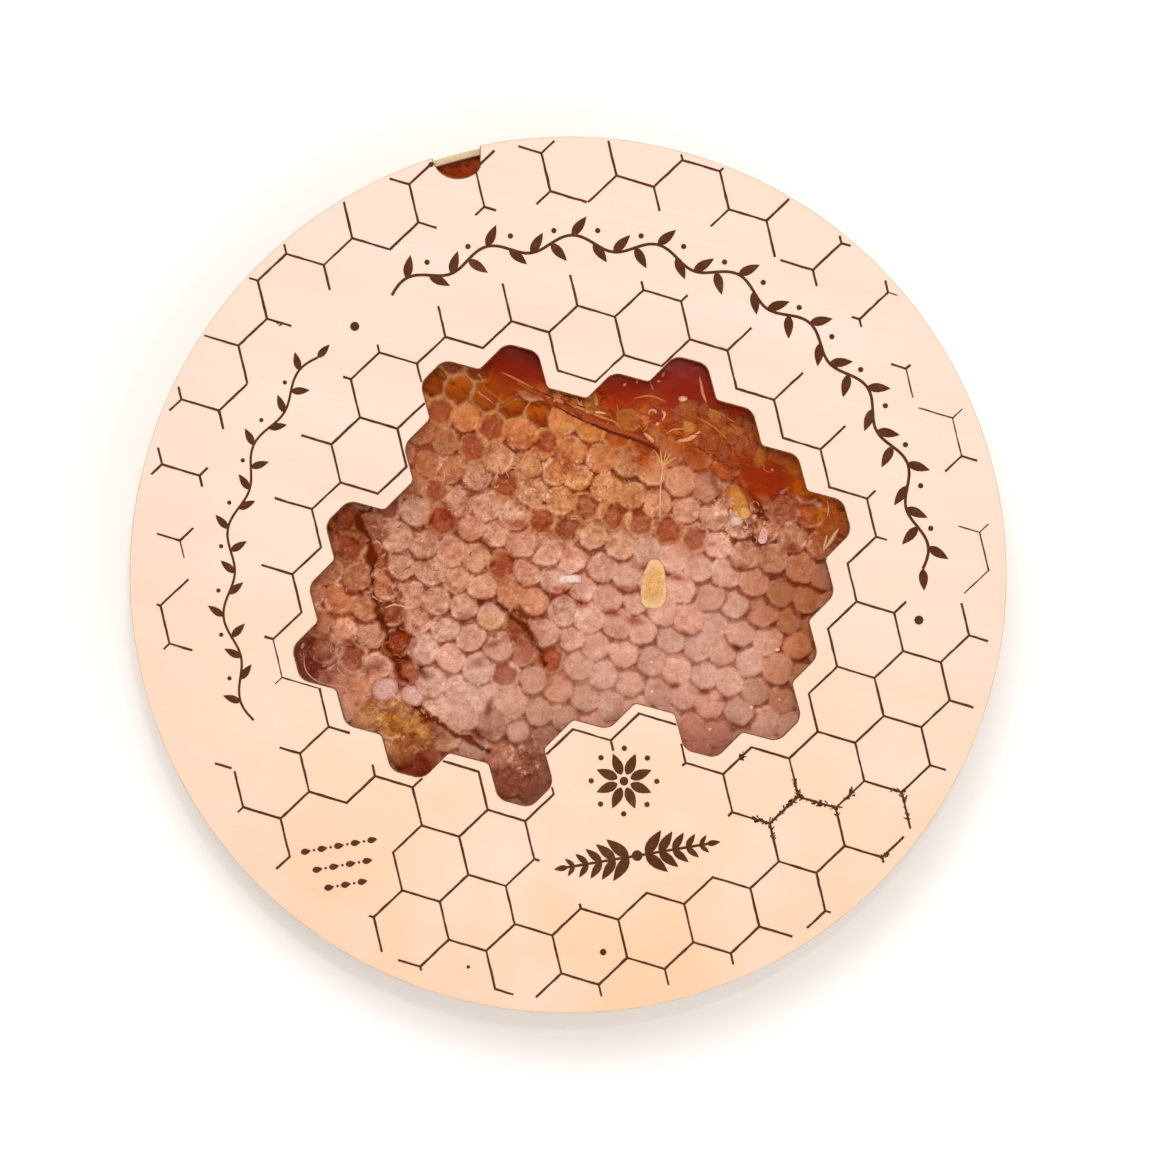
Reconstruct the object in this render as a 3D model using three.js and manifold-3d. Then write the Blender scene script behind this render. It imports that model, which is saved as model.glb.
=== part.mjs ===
// A shut round pack of honeycomb: a plain wooden box with a cut-out lid, its comb and its honey.
// Millimetres, +Z up. The pack lies flat, with its centre on the Z axis and its underside at Z = 0.
// The finger notch is in the lid's rim on the +Y side.

import * as THREE from "three";
import { mergeVertices } from "three/addons/utils/BufferGeometryUtils.js";
import Module from "manifold-3d";

// ---- Driving dimensions (mm and degrees) ----
const PACK_RADIUS = 80;
const LID_THICKNESS = 3;
const BASE_THICKNESS = 3;
const HOOP_OUTER_RADIUS = 79.7;
const HOOP_WALL = 1.2;
const HOOP_HEIGHT = 21.7;
const SEAT_GAP = 0.3;
const ROUND_SEGMENTS = 96;

// The hexagons printed on the lid, which the window follows. Rows run along the second axis.
const PRINT_PITCH = 12.375;
const PRINT_ANGLE = 13.32;
const PRINT_ORIGIN = new THREE.Vector2(3.956, -67.788);

// The window is a union of those hexagons, cut small, a little turned and off register.
const WINDOW_SCALE = 0.946;
const WINDOW_TURN = 1.63;
const WINDOW_PIVOT = new THREE.Vector2(0.8, 0.55);
const WINDOW_SHIFT = new THREE.Vector2(-0.6, -0.54);
const WINDOW_INSET = 0.71;
const CONVEX_RADIUS = 2.4;
const CONCAVE_RADIUS = 1.05;
const CORNER_STEPS = 2;
// The first and last hexagon that each row gives to the window.
const WINDOW_ROWS = [
  [-6, -4],
  [-7, -3],
  [-8, -4],
  [-8, -4],
  [-9, -3],
  [-10, -3],
  [-10, -4],
  [-9, -5],
  [-9, -6],
];

// The finger notch: a bite out of the rim with a straight right side.
const NOTCH_RIGHT = -16.1;
const NOTCH_LEFT = -24.9;
const NOTCH_RIGHT_DEPTH = 74.4;
const NOTCH_LEFT_DEPTH = 76.4;
const NOTCH_FLOOR_RIGHT = new THREE.Vector2(-17.4, 71.7);
const NOTCH_FLOOR_LEFT = new THREE.Vector2(-23.8, 71.0);
const NOTCH_STEPS = 8;

// The clear film under the lid.
const FILM_THICKNESS = 0.3;
const FILM_RADIUS = 74.6;

// The comb fills the hoop but for one straight cut, where honey stands.
const COMB_RADIUS = 72;
const COMB_TOP = 24.1;
const COMB_CUT_ANGLE = 63;
const COMB_CUT_DISTANCE = 32.5;
const COMB_EDGE_WAVE = 0.9;
const HONEY_RADIUS = 77.7;
const HONEY_LEVEL = 22.6;
const HONEY_CLEARANCE = 0.5;

// The comb's cells: two neighbouring steps of their lattice, which is a little stretched.
const CELL_STEP = 5.08;
const CELL_STEP_ANGLE = -15.7;
const CELL_CROSS_STEP = 5.32;
const CELL_CROSS_ANGLE = 48.1;
const CELL_ORIGIN = new THREE.Vector2(1.24, 3.12);
const CELL_PITCH = 5.3;
// A cap is flat out to this share of the pitch and falls to the groove at half of it.
const CAP_SHARE = 0.4;
const CROWN_SHARE = 0.1;
const CROWN_HEIGHT = 0.2;
const CAP_UNEVENNESS = 0.35;
const GROOVE_DEPTH = 0.75;
const GRID_COUNT = 116;
const GRID_SHARE = 6;
const CHANCE_STEP = 12.99;
const CHANCE_CROSS = 78.23;
const CHANCE_SPREAD = 43758.5;
// The cells are modelled under the window and this far past its edge, down to the relief's floor.
const RELIEF_MARGIN = 2.5;
const RELIEF_OVERLAP = 0.05;
const RELIEF_FLOOR = 20;

// Uncapped cells, by their centres. Their walls stand nearly as high as the caps.
const OPEN_CELL_DEPTH = 3.4;
const OPEN_RIM_DROP = 0.25;
const OPEN_RIM_SHARE = 0.62;
const OPEN_CELLS = [
  [-25.1, 35.3],
  [-20.1, 33.9],
  [-15.2, 32.6],
  [-10.4, 31.2],
  [-5.5, 29.7],
];

// Cracks run through the caps, and honey wells up in the pools.
const CRACK_DEPTH = 2.4;
const CRACK_HALF_WIDTH = 1.1;
const CRACKS = [
  [
    [-8.8, 34.6],
    [-1.5, 31.0],
    [14.9, 24.6],
    [17.7, 21.9],
  ],
  [
    [-38.5, 8.2],
    [-35.8, 0.8],
    [-34.2, -8.4],
    [-30.1, -19.2],
    [-25.6, -26.1],
    [-14.6, -32.5],
  ],
  [
    [-13.0, -4.8],
    [-7.7, -10.0],
    [-4.2, -16.4],
  ],
];
const POOL_DEPTH = 1.5;
const POOLS = [
  { at: [-12.2, 0.5], radius: 2.6 },
  { at: [-4.9, 8.2], radius: 2.2 },
  { at: [0.0, 6.4], radius: 1.9 },
  { at: [18.3, 8.2], radius: 2.3 },
  { at: [22.9, 5.4], radius: 2.4 },
  { at: [-22.4, 9.6], radius: 3.4 },
  { at: [-32.2, -7.2], radius: 2.8 },
  { at: [-31.3, -12.2], radius: 3.2 },
  { at: [-29.3, -17.2], radius: 3.4 },
  { at: [-4.1, -15.7], radius: 2.3 },
];

// ---- Levels that follow from the dimensions ----
const HOOP_BOTTOM = BASE_THICKNESS + SEAT_GAP;
const HOOP_TOP = HOOP_BOTTOM + HOOP_HEIGHT;
const LID_BOTTOM = HOOP_TOP + SEAT_GAP;
const FILM_BOTTOM = LID_BOTTOM - SEAT_GAP - FILM_THICKNESS;
const COMB_BOTTOM = BASE_THICKNESS + SEAT_GAP;
// Cutting tools run this far past what they cut, and points this close are one.
const CUT_MARGIN = 2;
const SAME_POINT = 0.01;
const HEXAGON_SIDE = PRINT_PITCH / Math.sqrt(3);

const BOARD = new THREE.MeshStandardMaterial({ color: 0xf6dcc4, roughness: 0.7, metalness: 0 });
const VENEER = new THREE.MeshStandardMaterial({ color: 0xe9cba6, roughness: 0.65, metalness: 0 });
const WAX = new THREE.MeshStandardMaterial({ color: 0xcf9a78, roughness: 0.45, metalness: 0 });
const HONEY = new THREE.MeshStandardMaterial({ color: 0x8a2f08, roughness: 0.12, metalness: 0 });
const FILM = new THREE.MeshStandardMaterial({
  color: 0xf4efe8,
  roughness: 0.1,
  metalness: 0,
  transparent: true,
  opacity: 0.3,
});

const wasm = await Module();
wasm.setup();

// ---- Geometry to solids and back ----

function toSolid(geometry) {
  const bare = geometry.clone();
  bare.deleteAttribute("normal");
  bare.deleteAttribute("uv");
  const merged = mergeVertices(bare, 1e-4);
  const mesh = new wasm.Mesh({
    numProp: 3,
    vertProperties: merged.attributes.position.array,
    triVerts: new Uint32Array(merged.index.array),
  });
  return new wasm.Manifold(mesh);
}

function toGeometry(solid) {
  const { vertProperties, triVerts } = solid.getMesh();
  const geometry = new THREE.BufferGeometry();
  geometry.setAttribute("position", new THREE.BufferAttribute(vertProperties, 3));
  geometry.setIndex(new THREE.BufferAttribute(triVerts, 1));
  geometry.computeVertexNormals();
  return geometry;
}

function extrude(shape, bottom, top, curveSegments = ROUND_SEGMENTS) {
  const geometry = new THREE.ExtrudeGeometry(shape, {
    depth: top - bottom,
    bevelEnabled: false,
    curveSegments,
  });
  return geometry.translate(0, 0, bottom);
}

function disc(radius, bottom, top) {
  const geometry = new THREE.CylinderGeometry(radius, radius, top - bottom, ROUND_SEGMENTS);
  return geometry.rotateX(Math.PI / 2).translate(0, 0, (top + bottom) / 2);
}

function direction(degrees, length = 1) {
  const angle = THREE.MathUtils.degToRad(degrees);
  return new THREE.Vector2(Math.cos(angle) * length, Math.sin(angle) * length);
}

// ---- The window's outline ----

const ALONG_ROW = direction(PRINT_ANGLE - 60, PRINT_PITCH);
const ACROSS_ROWS = direction(PRINT_ANGLE, PRINT_PITCH);
// The six neighbours of a hexagon, anticlockwise from the row axis.
const NEIGHBOURS = [
  [1, 0],
  [1, -1],
  [0, -1],
  [-1, 0],
  [-1, 1],
  [0, 1],
];

function printedCentre(row, place) {
  return PRINT_ORIGIN.clone().addScaledVector(ACROSS_ROWS, row).addScaledVector(ALONG_ROW, place);
}

function isCutAway(row, place) {
  const ends = WINDOW_ROWS[row];
  return ends !== undefined && place >= ends[0] && place <= ends[1];
}

function onWindow(point) {
  const turn = THREE.MathUtils.degToRad(WINDOW_TURN);
  const turned = point.clone().rotateAround(WINDOW_PIVOT, turn).sub(WINDOW_PIVOT);
  return turned.multiplyScalar(WINDOW_SCALE).add(WINDOW_PIVOT).add(WINDOW_SHIFT);
}

function cutHexagons() {
  const hexagons = [];
  WINDOW_ROWS.forEach(([first, last], row) => {
    for (let place = first; place <= last; place += 1) hexagons.push([row, place]);
  });
  return hexagons;
}

// The sides that a cut hexagon shares with an uncut one, as start and end points.
function outerSides() {
  const sides = [];
  for (const [row, place] of cutHexagons()) {
    const centre = printedCentre(row, place);
    NEIGHBOURS.forEach(([rowStep, placeStep], k) => {
      if (isCutAway(row + rowStep, place + placeStep)) return;
      const middle = PRINT_ANGLE + k * 60;
      const start = centre.clone().add(direction(middle - 30, HEXAGON_SIDE));
      const end = centre.clone().add(direction(middle + 30, HEXAGON_SIDE));
      sides.push({ start: onWindow(start), end: onWindow(end) });
    });
  }
  return sides;
}

// The sides' start points in order round the window, anticlockwise.
function windowCorners() {
  const sides = outerSides();
  const corners = [];
  let side = sides[0];
  do {
    corners.push(side.start);
    const { end } = side;
    side = sides.find(({ start }) => start.distanceTo(end) < SAME_POINT);
  } while (side !== sides[0]);
  return corners;
}

function insetCorner(corners, k, inset) {
  const before = corners.at(k - 1);
  const corner = corners[k];
  const after = corners[(k + 1) % corners.length];
  const arriving = corner.clone().sub(before).normalize();
  const leaving = after.clone().sub(corner).normalize();
  const inward = leaving.clone().sub(arriving);
  const isConvex = arriving.cross(leaving) > 0;
  inward.setLength(((isConvex ? 1 : -1) * inset) / Math.cos(Math.PI / 6));
  return { point: corner.clone().add(inward), arriving, leaving, isConvex };
}

// The window's outline with round corners, drawn in from the hexagons' sides by an inset.
function windowShape(inset) {
  const corners = windowCorners();
  const path = new THREE.Path();
  corners.forEach((_, k) => {
    const { point, arriving, leaving, isConvex } = insetCorner(corners, k, inset);
    const radius = isConvex ? CONVEX_RADIUS : CONCAVE_RADIUS;
    const reach = radius * Math.tan(Math.PI / 6);
    const from = point.clone().addScaledVector(arriving, -reach);
    const to = point.clone().addScaledVector(leaving, reach);
    if (k === 0) path.moveTo(from.x, from.y);
    else path.lineTo(from.x, from.y);
    path.quadraticCurveTo(point.x, point.y, to.x, to.y);
  });
  path.closePath();
  return new THREE.Shape(path.getPoints(CORNER_STEPS));
}

// ---- The lid, the base and the hoop ----

function notchShape() {
  const shape = new THREE.Shape();
  const outside = PACK_RADIUS + CUT_MARGIN;
  shape.moveTo(NOTCH_RIGHT, outside);
  shape.lineTo(NOTCH_LEFT, outside);
  shape.lineTo(NOTCH_LEFT, NOTCH_LEFT_DEPTH);
  shape.bezierCurveTo(
    NOTCH_FLOOR_LEFT.x,
    NOTCH_FLOOR_LEFT.y,
    NOTCH_FLOOR_RIGHT.x,
    NOTCH_FLOOR_RIGHT.y,
    NOTCH_RIGHT,
    NOTCH_RIGHT_DEPTH,
  );
  shape.closePath();
  return shape;
}

function lidGeometry() {
  const top = LID_BOTTOM + LID_THICKNESS;
  const window = windowShape(WINDOW_INSET);
  const board = toSolid(disc(PACK_RADIUS, LID_BOTTOM, top));
  const windowCut = toSolid(extrude(window, LID_BOTTOM - CUT_MARGIN, top + CUT_MARGIN));
  const notch = extrude(notchShape(), LID_BOTTOM - CUT_MARGIN, top + CUT_MARGIN, NOTCH_STEPS);
  return toGeometry(board.subtract(windowCut).subtract(toSolid(notch)));
}

function hoopGeometry() {
  const inner = HOOP_OUTER_RADIUS - HOOP_WALL;
  const profile = [
    new THREE.Vector2(inner, HOOP_BOTTOM),
    new THREE.Vector2(HOOP_OUTER_RADIUS, HOOP_BOTTOM),
    new THREE.Vector2(HOOP_OUTER_RADIUS, HOOP_TOP),
    new THREE.Vector2(inner, HOOP_TOP),
    new THREE.Vector2(inner, HOOP_BOTTOM),
  ];
  return new THREE.LatheGeometry(profile, ROUND_SEGMENTS).rotateX(Math.PI / 2);
}

// ---- The comb and the honey round it ----

const CELL_AXIS = direction(CELL_STEP_ANGLE, CELL_STEP);
const CELL_CROSS = direction(CELL_CROSS_ANGLE, CELL_CROSS_STEP);

// The comb's outline, a wavy circle with a straight cut, standing back by a clearance.
function combOutline(clearance) {
  const points = [];
  for (let k = 0; k < ROUND_SEGMENTS; k += 1) {
    const angle = (k / ROUND_SEGMENTS) * 2 * Math.PI;
    const wave = COMB_EDGE_WAVE * (Math.sin(7 * angle) + Math.sin(17 * angle) / 2);
    const offCut = angle - THREE.MathUtils.degToRad(COMB_CUT_ANGLE);
    const toCut = Math.cos(offCut) > 0 ? COMB_CUT_DISTANCE / Math.cos(offCut) : COMB_RADIUS;
    const reach = Math.min(COMB_RADIUS, toCut) + wave + clearance;
    points.push(new THREE.Vector2(Math.cos(angle) * reach, Math.sin(angle) * reach));
  }
  return points;
}

function cellCentre(step, cross) {
  return CELL_ORIGIN.clone().addScaledVector(CELL_AXIS, step).addScaledVector(CELL_CROSS, cross);
}

// The cell whose centre is nearest to a point.
function nearestCell(point) {
  const area = CELL_AXIS.cross(CELL_CROSS);
  const offset = point.clone().sub(CELL_ORIGIN);
  const step = Math.floor(offset.cross(CELL_CROSS) / area);
  const cross = Math.floor(CELL_AXIS.cross(offset) / area);
  let nearest = { distance: Infinity };
  for (const [a, b] of [[0, 0], [1, 0], [0, 1], [1, 1]]) {
    const centre = cellCentre(step + a, cross + b);
    const distance = centre.distanceTo(point);
    if (distance < nearest.distance) nearest = { distance, centre, step: step + a, cross: cross + b };
  }
  return nearest;
}

// A repeatable number from 0 to 1 for a cell.
function cellChance(step, cross) {
  const value = Math.sin(step * CHANCE_STEP + cross * CHANCE_CROSS) * CHANCE_SPREAD;
  return value - Math.floor(value);
}

function distanceToLine(point, line) {
  const nearest = new THREE.Vector3();
  const target = new THREE.Vector3(point.x, point.y, 0);
  let distance = Infinity;
  for (let k = 1; k < line.length; k += 1) {
    const start = new THREE.Vector3(...line[k - 1], 0);
    const end = new THREE.Vector3(...line[k], 0);
    new THREE.Line3(start, end).closestPointToPoint(target, true, nearest);
    distance = Math.min(distance, nearest.distanceTo(target));
  }
  return distance;
}

function isNear(point, places, reach) {
  return places.some(([x, y]) => Math.hypot(point.x - x, point.y - y) < reach);
}

// Height of the comb's face at a point: caps, the grooves between them, and what broke them.
function combHeight(x, y) {
  const point = new THREE.Vector2(x, y);
  const cell = nearestCell(point);
  const onCap = cell.distance < CAP_SHARE * CELL_PITCH;
  if (onCap && isNear(cell.centre, OPEN_CELLS, CELL_PITCH / 2)) return COMB_TOP - OPEN_CELL_DEPTH;
  const onRim = !onCap && isNear(point, OPEN_CELLS, CELL_PITCH * OPEN_RIM_SHARE);
  if (onRim) return COMB_TOP - OPEN_RIM_DROP;
  let height = COMB_TOP - (onCap ? 0 : GROOVE_DEPTH);
  if (onCap) height += CAP_UNEVENNESS * (cellChance(cell.step, cell.cross) - 1);
  if (cell.distance < CROWN_SHARE * CELL_PITCH) height += CROWN_HEIGHT;
  if (POOLS.some(({ at, radius }) => isNear(point, [at], radius))) height -= POOL_DEPTH;
  if (CRACKS.some((line) => distanceToLine(point, line) < CRACK_HALF_WIDTH)) height -= CRACK_DEPTH;
  return height;
}

// A slab whose grid has points at each cell's centre, on its cap, and at its sides and corners.
function combSlab() {
  const slab = new THREE.BoxGeometry(GRID_COUNT, GRID_COUNT, 1, GRID_COUNT, GRID_COUNT, 1);
  const toCorner = CELL_AXIS.clone().add(CELL_CROSS).divideScalar(GRID_SHARE);
  const toSide = CELL_CROSS.clone().addScaledVector(CELL_AXIS, -2).divideScalar(GRID_SHARE);
  const shear = new THREE.Matrix4().makeBasis(
    new THREE.Vector3(toCorner.x, toCorner.y, 0),
    new THREE.Vector3(toSide.x, toSide.y, 0),
    new THREE.Vector3(0, 0, 1),
  );
  slab.applyMatrix4(shear).translate(CELL_ORIGIN.x, CELL_ORIGIN.y, 0);
  const corners = slab.attributes.position;
  for (let k = 0; k < corners.count; k += 1) {
    const isTop = corners.getZ(k) > 0;
    corners.setZ(k, isTop ? combHeight(corners.getX(k), corners.getY(k)) : RELIEF_FLOOR - CUT_MARGIN);
  }
  return slab;
}

// A plain cake of comb, with the relief let into a pocket of the window's shape.
function combGeometry() {
  const outline = new THREE.Shape(combOutline(0));
  const pocket = windowShape(-RELIEF_MARGIN);
  const insert = windowShape(-RELIEF_MARGIN - RELIEF_OVERLAP);
  const cake = toSolid(extrude(outline, COMB_BOTTOM, COMB_TOP));
  const hollow = toSolid(extrude(pocket, RELIEF_FLOOR, LID_BOTTOM));
  const cells = toSolid(combSlab()).intersect(toSolid(extrude(insert, COMB_BOTTOM, LID_BOTTOM)));
  const edge = toSolid(extrude(outline, COMB_BOTTOM, LID_BOTTOM));
  return toGeometry(cake.subtract(hollow).add(cells.intersect(edge)));
}

function honeyGeometry() {
  const shape = new THREE.Shape().absarc(0, 0, HONEY_RADIUS, 0, 2 * Math.PI, false);
  shape.holes.push(new THREE.Path(combOutline(HONEY_CLEARANCE)));
  return extrude(shape, COMB_BOTTOM, HONEY_LEVEL, ROUND_SEGMENTS);
}

// ---- The pack ----

function named(name, geometry, material) {
  const mesh = new THREE.Mesh(geometry, material);
  mesh.name = name;
  return mesh;
}

function honeycombPack() {
  const pack = new THREE.Group();
  pack.add(named("base", disc(PACK_RADIUS, 0, BASE_THICKNESS), BOARD));
  pack.add(named("hoop", hoopGeometry(), VENEER));
  pack.add(named("lid", lidGeometry(), BOARD));
  pack.add(named("window_film", disc(FILM_RADIUS, FILM_BOTTOM, FILM_BOTTOM + FILM_THICKNESS), FILM));
  pack.add(named("honeycomb", combGeometry(), WAX));
  pack.add(named("honey", honeyGeometry(), HONEY));
  return pack;
}

export default honeycombPack();
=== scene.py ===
"""A shut round wooden pack of honeycomb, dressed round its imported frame.

Layout is worked out in millimetres, seen from above: X to the right, Y towards the finger notch,
Z up from the underside. Each finished mesh is brought to metres once, at the end of its making.
"""

import logging
import math
from dataclasses import dataclass, field
from enum import Enum

import bmesh
import bpy
import numpy as np
from mathutils import Matrix, Vector
from mathutils.kdtree import KDTree


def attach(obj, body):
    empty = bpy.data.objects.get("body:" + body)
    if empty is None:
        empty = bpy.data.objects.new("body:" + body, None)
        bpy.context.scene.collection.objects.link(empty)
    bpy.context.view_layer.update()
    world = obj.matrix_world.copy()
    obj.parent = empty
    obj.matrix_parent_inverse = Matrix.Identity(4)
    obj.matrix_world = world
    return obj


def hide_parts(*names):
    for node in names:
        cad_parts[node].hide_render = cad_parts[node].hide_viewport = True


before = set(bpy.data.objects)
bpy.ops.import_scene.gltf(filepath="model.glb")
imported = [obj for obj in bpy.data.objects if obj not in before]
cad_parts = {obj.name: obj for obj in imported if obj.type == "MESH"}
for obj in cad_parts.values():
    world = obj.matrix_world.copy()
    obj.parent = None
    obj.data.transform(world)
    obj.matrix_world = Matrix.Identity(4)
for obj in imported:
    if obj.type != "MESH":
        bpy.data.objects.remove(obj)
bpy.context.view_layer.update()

LOG = logging.getLogger("honeycomb_pack")
MM = 0.001
BODY = "root"
Array = np.ndarray
Chance = np.random.Generator
Mesh = bmesh.types.BMesh
Vert = bmesh.types.BMVert
Edge = bmesh.types.BMEdge
Face = bmesh.types.BMFace
Piece = bpy.types.Object
Material = bpy.types.Material
Socket = bpy.types.NodeSocket
Point = tuple[float, float]
Triple = tuple[float, float, float]
Colour = tuple[int, int, int]
# How bright a white face is in the studio's light. Colours are given as they look there.
STUDIO_LIGHT = 1.2
# Layer of the meshes that holds their paint, and beside it one more number.
TINT = "tint"
# An edge that turns by more degrees than these is rounded, or shaded sharp.
ROUNDED_TURN = 50
SHARP_TURN = 35


class Slot(Enum):
    """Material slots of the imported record."""

    BOARD = "board"
    VENEER = "veneer"
    FILM = "film"
    WAX = "wax"
    HONEY = "honey"


class Shading(Enum):
    """How the faces of a piece meet in the light."""

    FLAT = "flat"
    SMOOTH = "smooth"
    BY_ANGLE = "by_angle"


# ---- Small tools ----


def linear(colour: Colour) -> Array:
    """Turns a display colour into linear light.

    Args:
        colour: Red, green and blue from 0 to 255.

    Returns:
        The three linear values.
    """
    share = np.asarray(colour, float) / 255
    return np.where(share <= 0.04045, share / 12.92, ((share + 0.055) / 1.055) ** 2.4)


def rgba(colour: Colour) -> tuple[float, float, float, float]:
    """Turns a colour as it looks in the studio into a shader colour.

    Args:
        colour: Red, green and blue from 0 to 255.

    Returns:
        Linear red, green, blue and a full alpha.
    """
    red, green, blue = linear(colour) / STUDIO_LIGHT
    return (float(red), float(green), float(blue), 1.0)


def towards(degrees: float, length: float = 1.0) -> Vector:
    """Gives a flat vector of a length in a direction.

    Args:
        degrees: Direction, anticlockwise from +X.
        length: Length in millimetres.

    Returns:
        The vector, with two numbers.
    """
    angle = math.radians(degrees)
    return Vector((math.cos(angle) * length, math.sin(angle) * length))


def blended(base: Array | float, over: Array | float, weight: Array | float) -> Array:
    """Mixes a second colour into a first, by its weight."""
    return base * (1 - weight) + over * weight


def smooth(low: float | Array, high: float | Array, value: Array) -> Array:
    """Rises smoothly from 0 to 1 as a value passes from low to high.

    Args:
        low: Value at which the rise starts.
        high: Value at which it ends.
        value: Values to weigh.

    Returns:
        Weights from 0 to 1.
    """
    share = np.clip((value - low) / (high - low), 0, 1)
    return share * share * (3 - 2 * share)


@dataclass(frozen=True)
class Ripple:
    """Smooth random waves over the plane, the same in each run."""

    scale: float
    seed: int
    table: int = 64

    def at(self, x: Array, y: Array) -> Array:
        """Reads the waves.

        Args:
            x: Places along X, in millimetres.
            y: Places along Y.

        Returns:
            Values from -1 to 1.
        """
        knots = np.random.default_rng(self.seed).uniform(-1, 1, (self.table, self.table))
        across, up = x / self.scale, y / self.scale
        column, row = np.floor(across).astype(int), np.floor(up).astype(int)
        right, top = across - column, up - row
        right = right * right * (3 - 2 * right)
        top = top * top * (3 - 2 * top)

        def knot(columns: Array, rows: Array) -> Array:
            """Reads the table, which repeats."""
            return knots[rows % self.table, columns % self.table]

        low = blended(knot(column, row), knot(column + 1, row), right)
        high = blended(knot(column, row + 1), knot(column + 1, row + 1), right)
        return blended(low, high, top)


def ripples(x: Array, y: Array, *waves: tuple[float, int, float | Array], start: float | Array = 0) -> Array:
    """Adds up random waves.

    Args:
        x: Places along X, in millimetres.
        y: Places along Y.
        waves: Scale, seed and height of each.
        start: What they are added to.

    Returns:
        The sum.
    """
    return sum((Ripple(scale, seed).at(x, y) * height for scale, seed, height in waves), start)


def as_paint(colour: Array, gloss: float, light: float) -> Array:
    """Turns a colour as it looks into the paint that gives it, under a gloss and in a light."""
    return np.clip((colour - gloss) / light, 0.002, 1)


def inside(outline: Array, x: Array, y: Array) -> Array:
    """Tests which points lie inside an outline.

    Args:
        outline: Corners in order, one row each.
        x: Places along X.
        y: Places along Y.

    Returns:
        True where a point is inside.
    """
    within = np.zeros(np.shape(x), bool)
    for (x0, y0), (x1, y1) in zip(outline, np.roll(outline, -1, axis=0)):
        if y0 == y1:
            continue
        crosses = (y0 > y) != (y1 > y)
        within ^= crosses & (x < (x1 - x0) * (y - y0) / (y1 - y0) + x0)
    return within


def distance_to_path(path: Array, x: Array, y: Array) -> Array:
    """Measures how far points lie from an open path.

    Args:
        path: The path's points in order, one row each.
        x: Places along X.
        y: Places along Y.

    Returns:
        Distances in millimetres.
    """
    nearest = np.full(np.shape(x), np.inf)
    for (x0, y0), (x1, y1) in zip(path[:-1], path[1:]):
        run_x, run_y = x1 - x0, y1 - y0
        share = ((x - x0) * run_x + (y - y0) * run_y) / (run_x**2 + run_y**2)
        share = np.clip(share, 0, 1)
        away = np.hypot(x - x0 - share * run_x, y - y0 - share * run_y)
        nearest = np.minimum(nearest, away)
    return nearest


def rounded_path(path: tuple[Point, ...], step: float) -> Array:
    """Draws a smooth curve through a few points.

    Args:
        path: The points in order.
        step: Distance between the curve's points.

    Returns:
        The curve's points, one row each.
    """
    points = np.asarray(path, float)
    ends = np.vstack([2 * points[0] - points[1], points, 2 * points[-1] - points[-2]])
    curve = []
    for before, start, end, after in zip(ends, ends[1:], ends[2:], ends[3:]):
        count = max(2, round(float(np.hypot(*(end - start))) / step))
        share = np.linspace(0, 1, count, endpoint=False)[:, None]
        bend = 2 * before - 5 * start + 4 * end - after
        twist = -before + 3 * start - 3 * end + after
        straight, bow = share * (end - before) / 2, share**2 * bend / 2
        curve.append(start + straight + bow + share**3 * twist / 2)
    return np.vstack([*curve, points[-1:]])


def points_in(made: dict[str, list]) -> list[Vert]:
    """Picks the points out of what an extrusion has made."""
    return [part for part in made["geom"] if isinstance(part, Vert)]


def ring(mesh: Mesh, verts: list[Vert]) -> list[Edge]:
    """Joins points into a closed ring of edges."""
    return [mesh.edges.new(ends) for ends in zip(verts, verts[1:] + verts[:1])]


def prism(mesh: Mesh, faces: list[Face], height: float) -> None:
    """Pulls flat faces up, or down, into a closed body.

    Args:
        mesh: The mesh that holds them.
        faces: The faces.
        height: How far up.
    """
    pulled = bmesh.ops.extrude_face_region(mesh, geom=faces, use_keep_orig=True)
    bmesh.ops.translate(mesh, verts=points_in(pulled), vec=(0, 0, height))
    bmesh.ops.recalc_face_normals(mesh, faces=mesh.faces)


def disc(radius: float, bottom: float, top: float, segments: int) -> Mesh:
    """Makes a closed disc round the Z axis.

    Args:
        radius: Its radius.
        bottom: Level of its underside.
        top: Level of its top.
        segments: Number of sides.

    Returns:
        The new mesh.
    """
    mesh = bmesh.new()
    sizes = {"radius1": radius, "radius2": radius, "depth": top - bottom}
    place = Matrix.Translation((0, 0, (bottom + top) / 2))
    bmesh.ops.create_cone(mesh, cap_ends=True, segments=segments, matrix=place, **sizes)
    return mesh


def loose_object(mesh: Mesh, name: str) -> Piece:
    """Puts a mesh into the scene as it is, and frees it.

    Args:
        mesh: The mesh.
        name: Name of the new object.

    Returns:
        The object.
    """
    data = bpy.data.meshes.new(name)
    mesh.to_mesh(data)
    mesh.free()
    made = bpy.data.objects.new(name, data)
    bpy.context.scene.collection.objects.link(made)
    return made


def cut_away(body: Mesh, tools: list[Mesh]) -> Mesh:
    """Cuts closed bodies out of another.

    Args:
        body: The mesh that is cut. It is freed.
        tools: The meshes that cut it. They are freed.

    Returns:
        What is left, as a new mesh.
    """
    holder = loose_object(body, "cut_body")
    cutters = [loose_object(tool, "cut_tool") for tool in tools]
    for cutter in cutters:
        cut = holder.modifiers.new("cut", "BOOLEAN")
        cut.operation = "DIFFERENCE"
        cut.solver = "EXACT"
        cut.object = cutter
    bpy.context.view_layer.update()
    depsgraph = bpy.context.evaluated_depsgraph_get()
    data = bpy.data.meshes.new_from_object(holder.evaluated_get(depsgraph))
    left = bmesh.new()
    left.from_mesh(data)
    bpy.data.meshes.remove(data)
    for spent in (holder, *cutters):
        bpy.data.objects.remove(spent)
    return left


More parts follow.
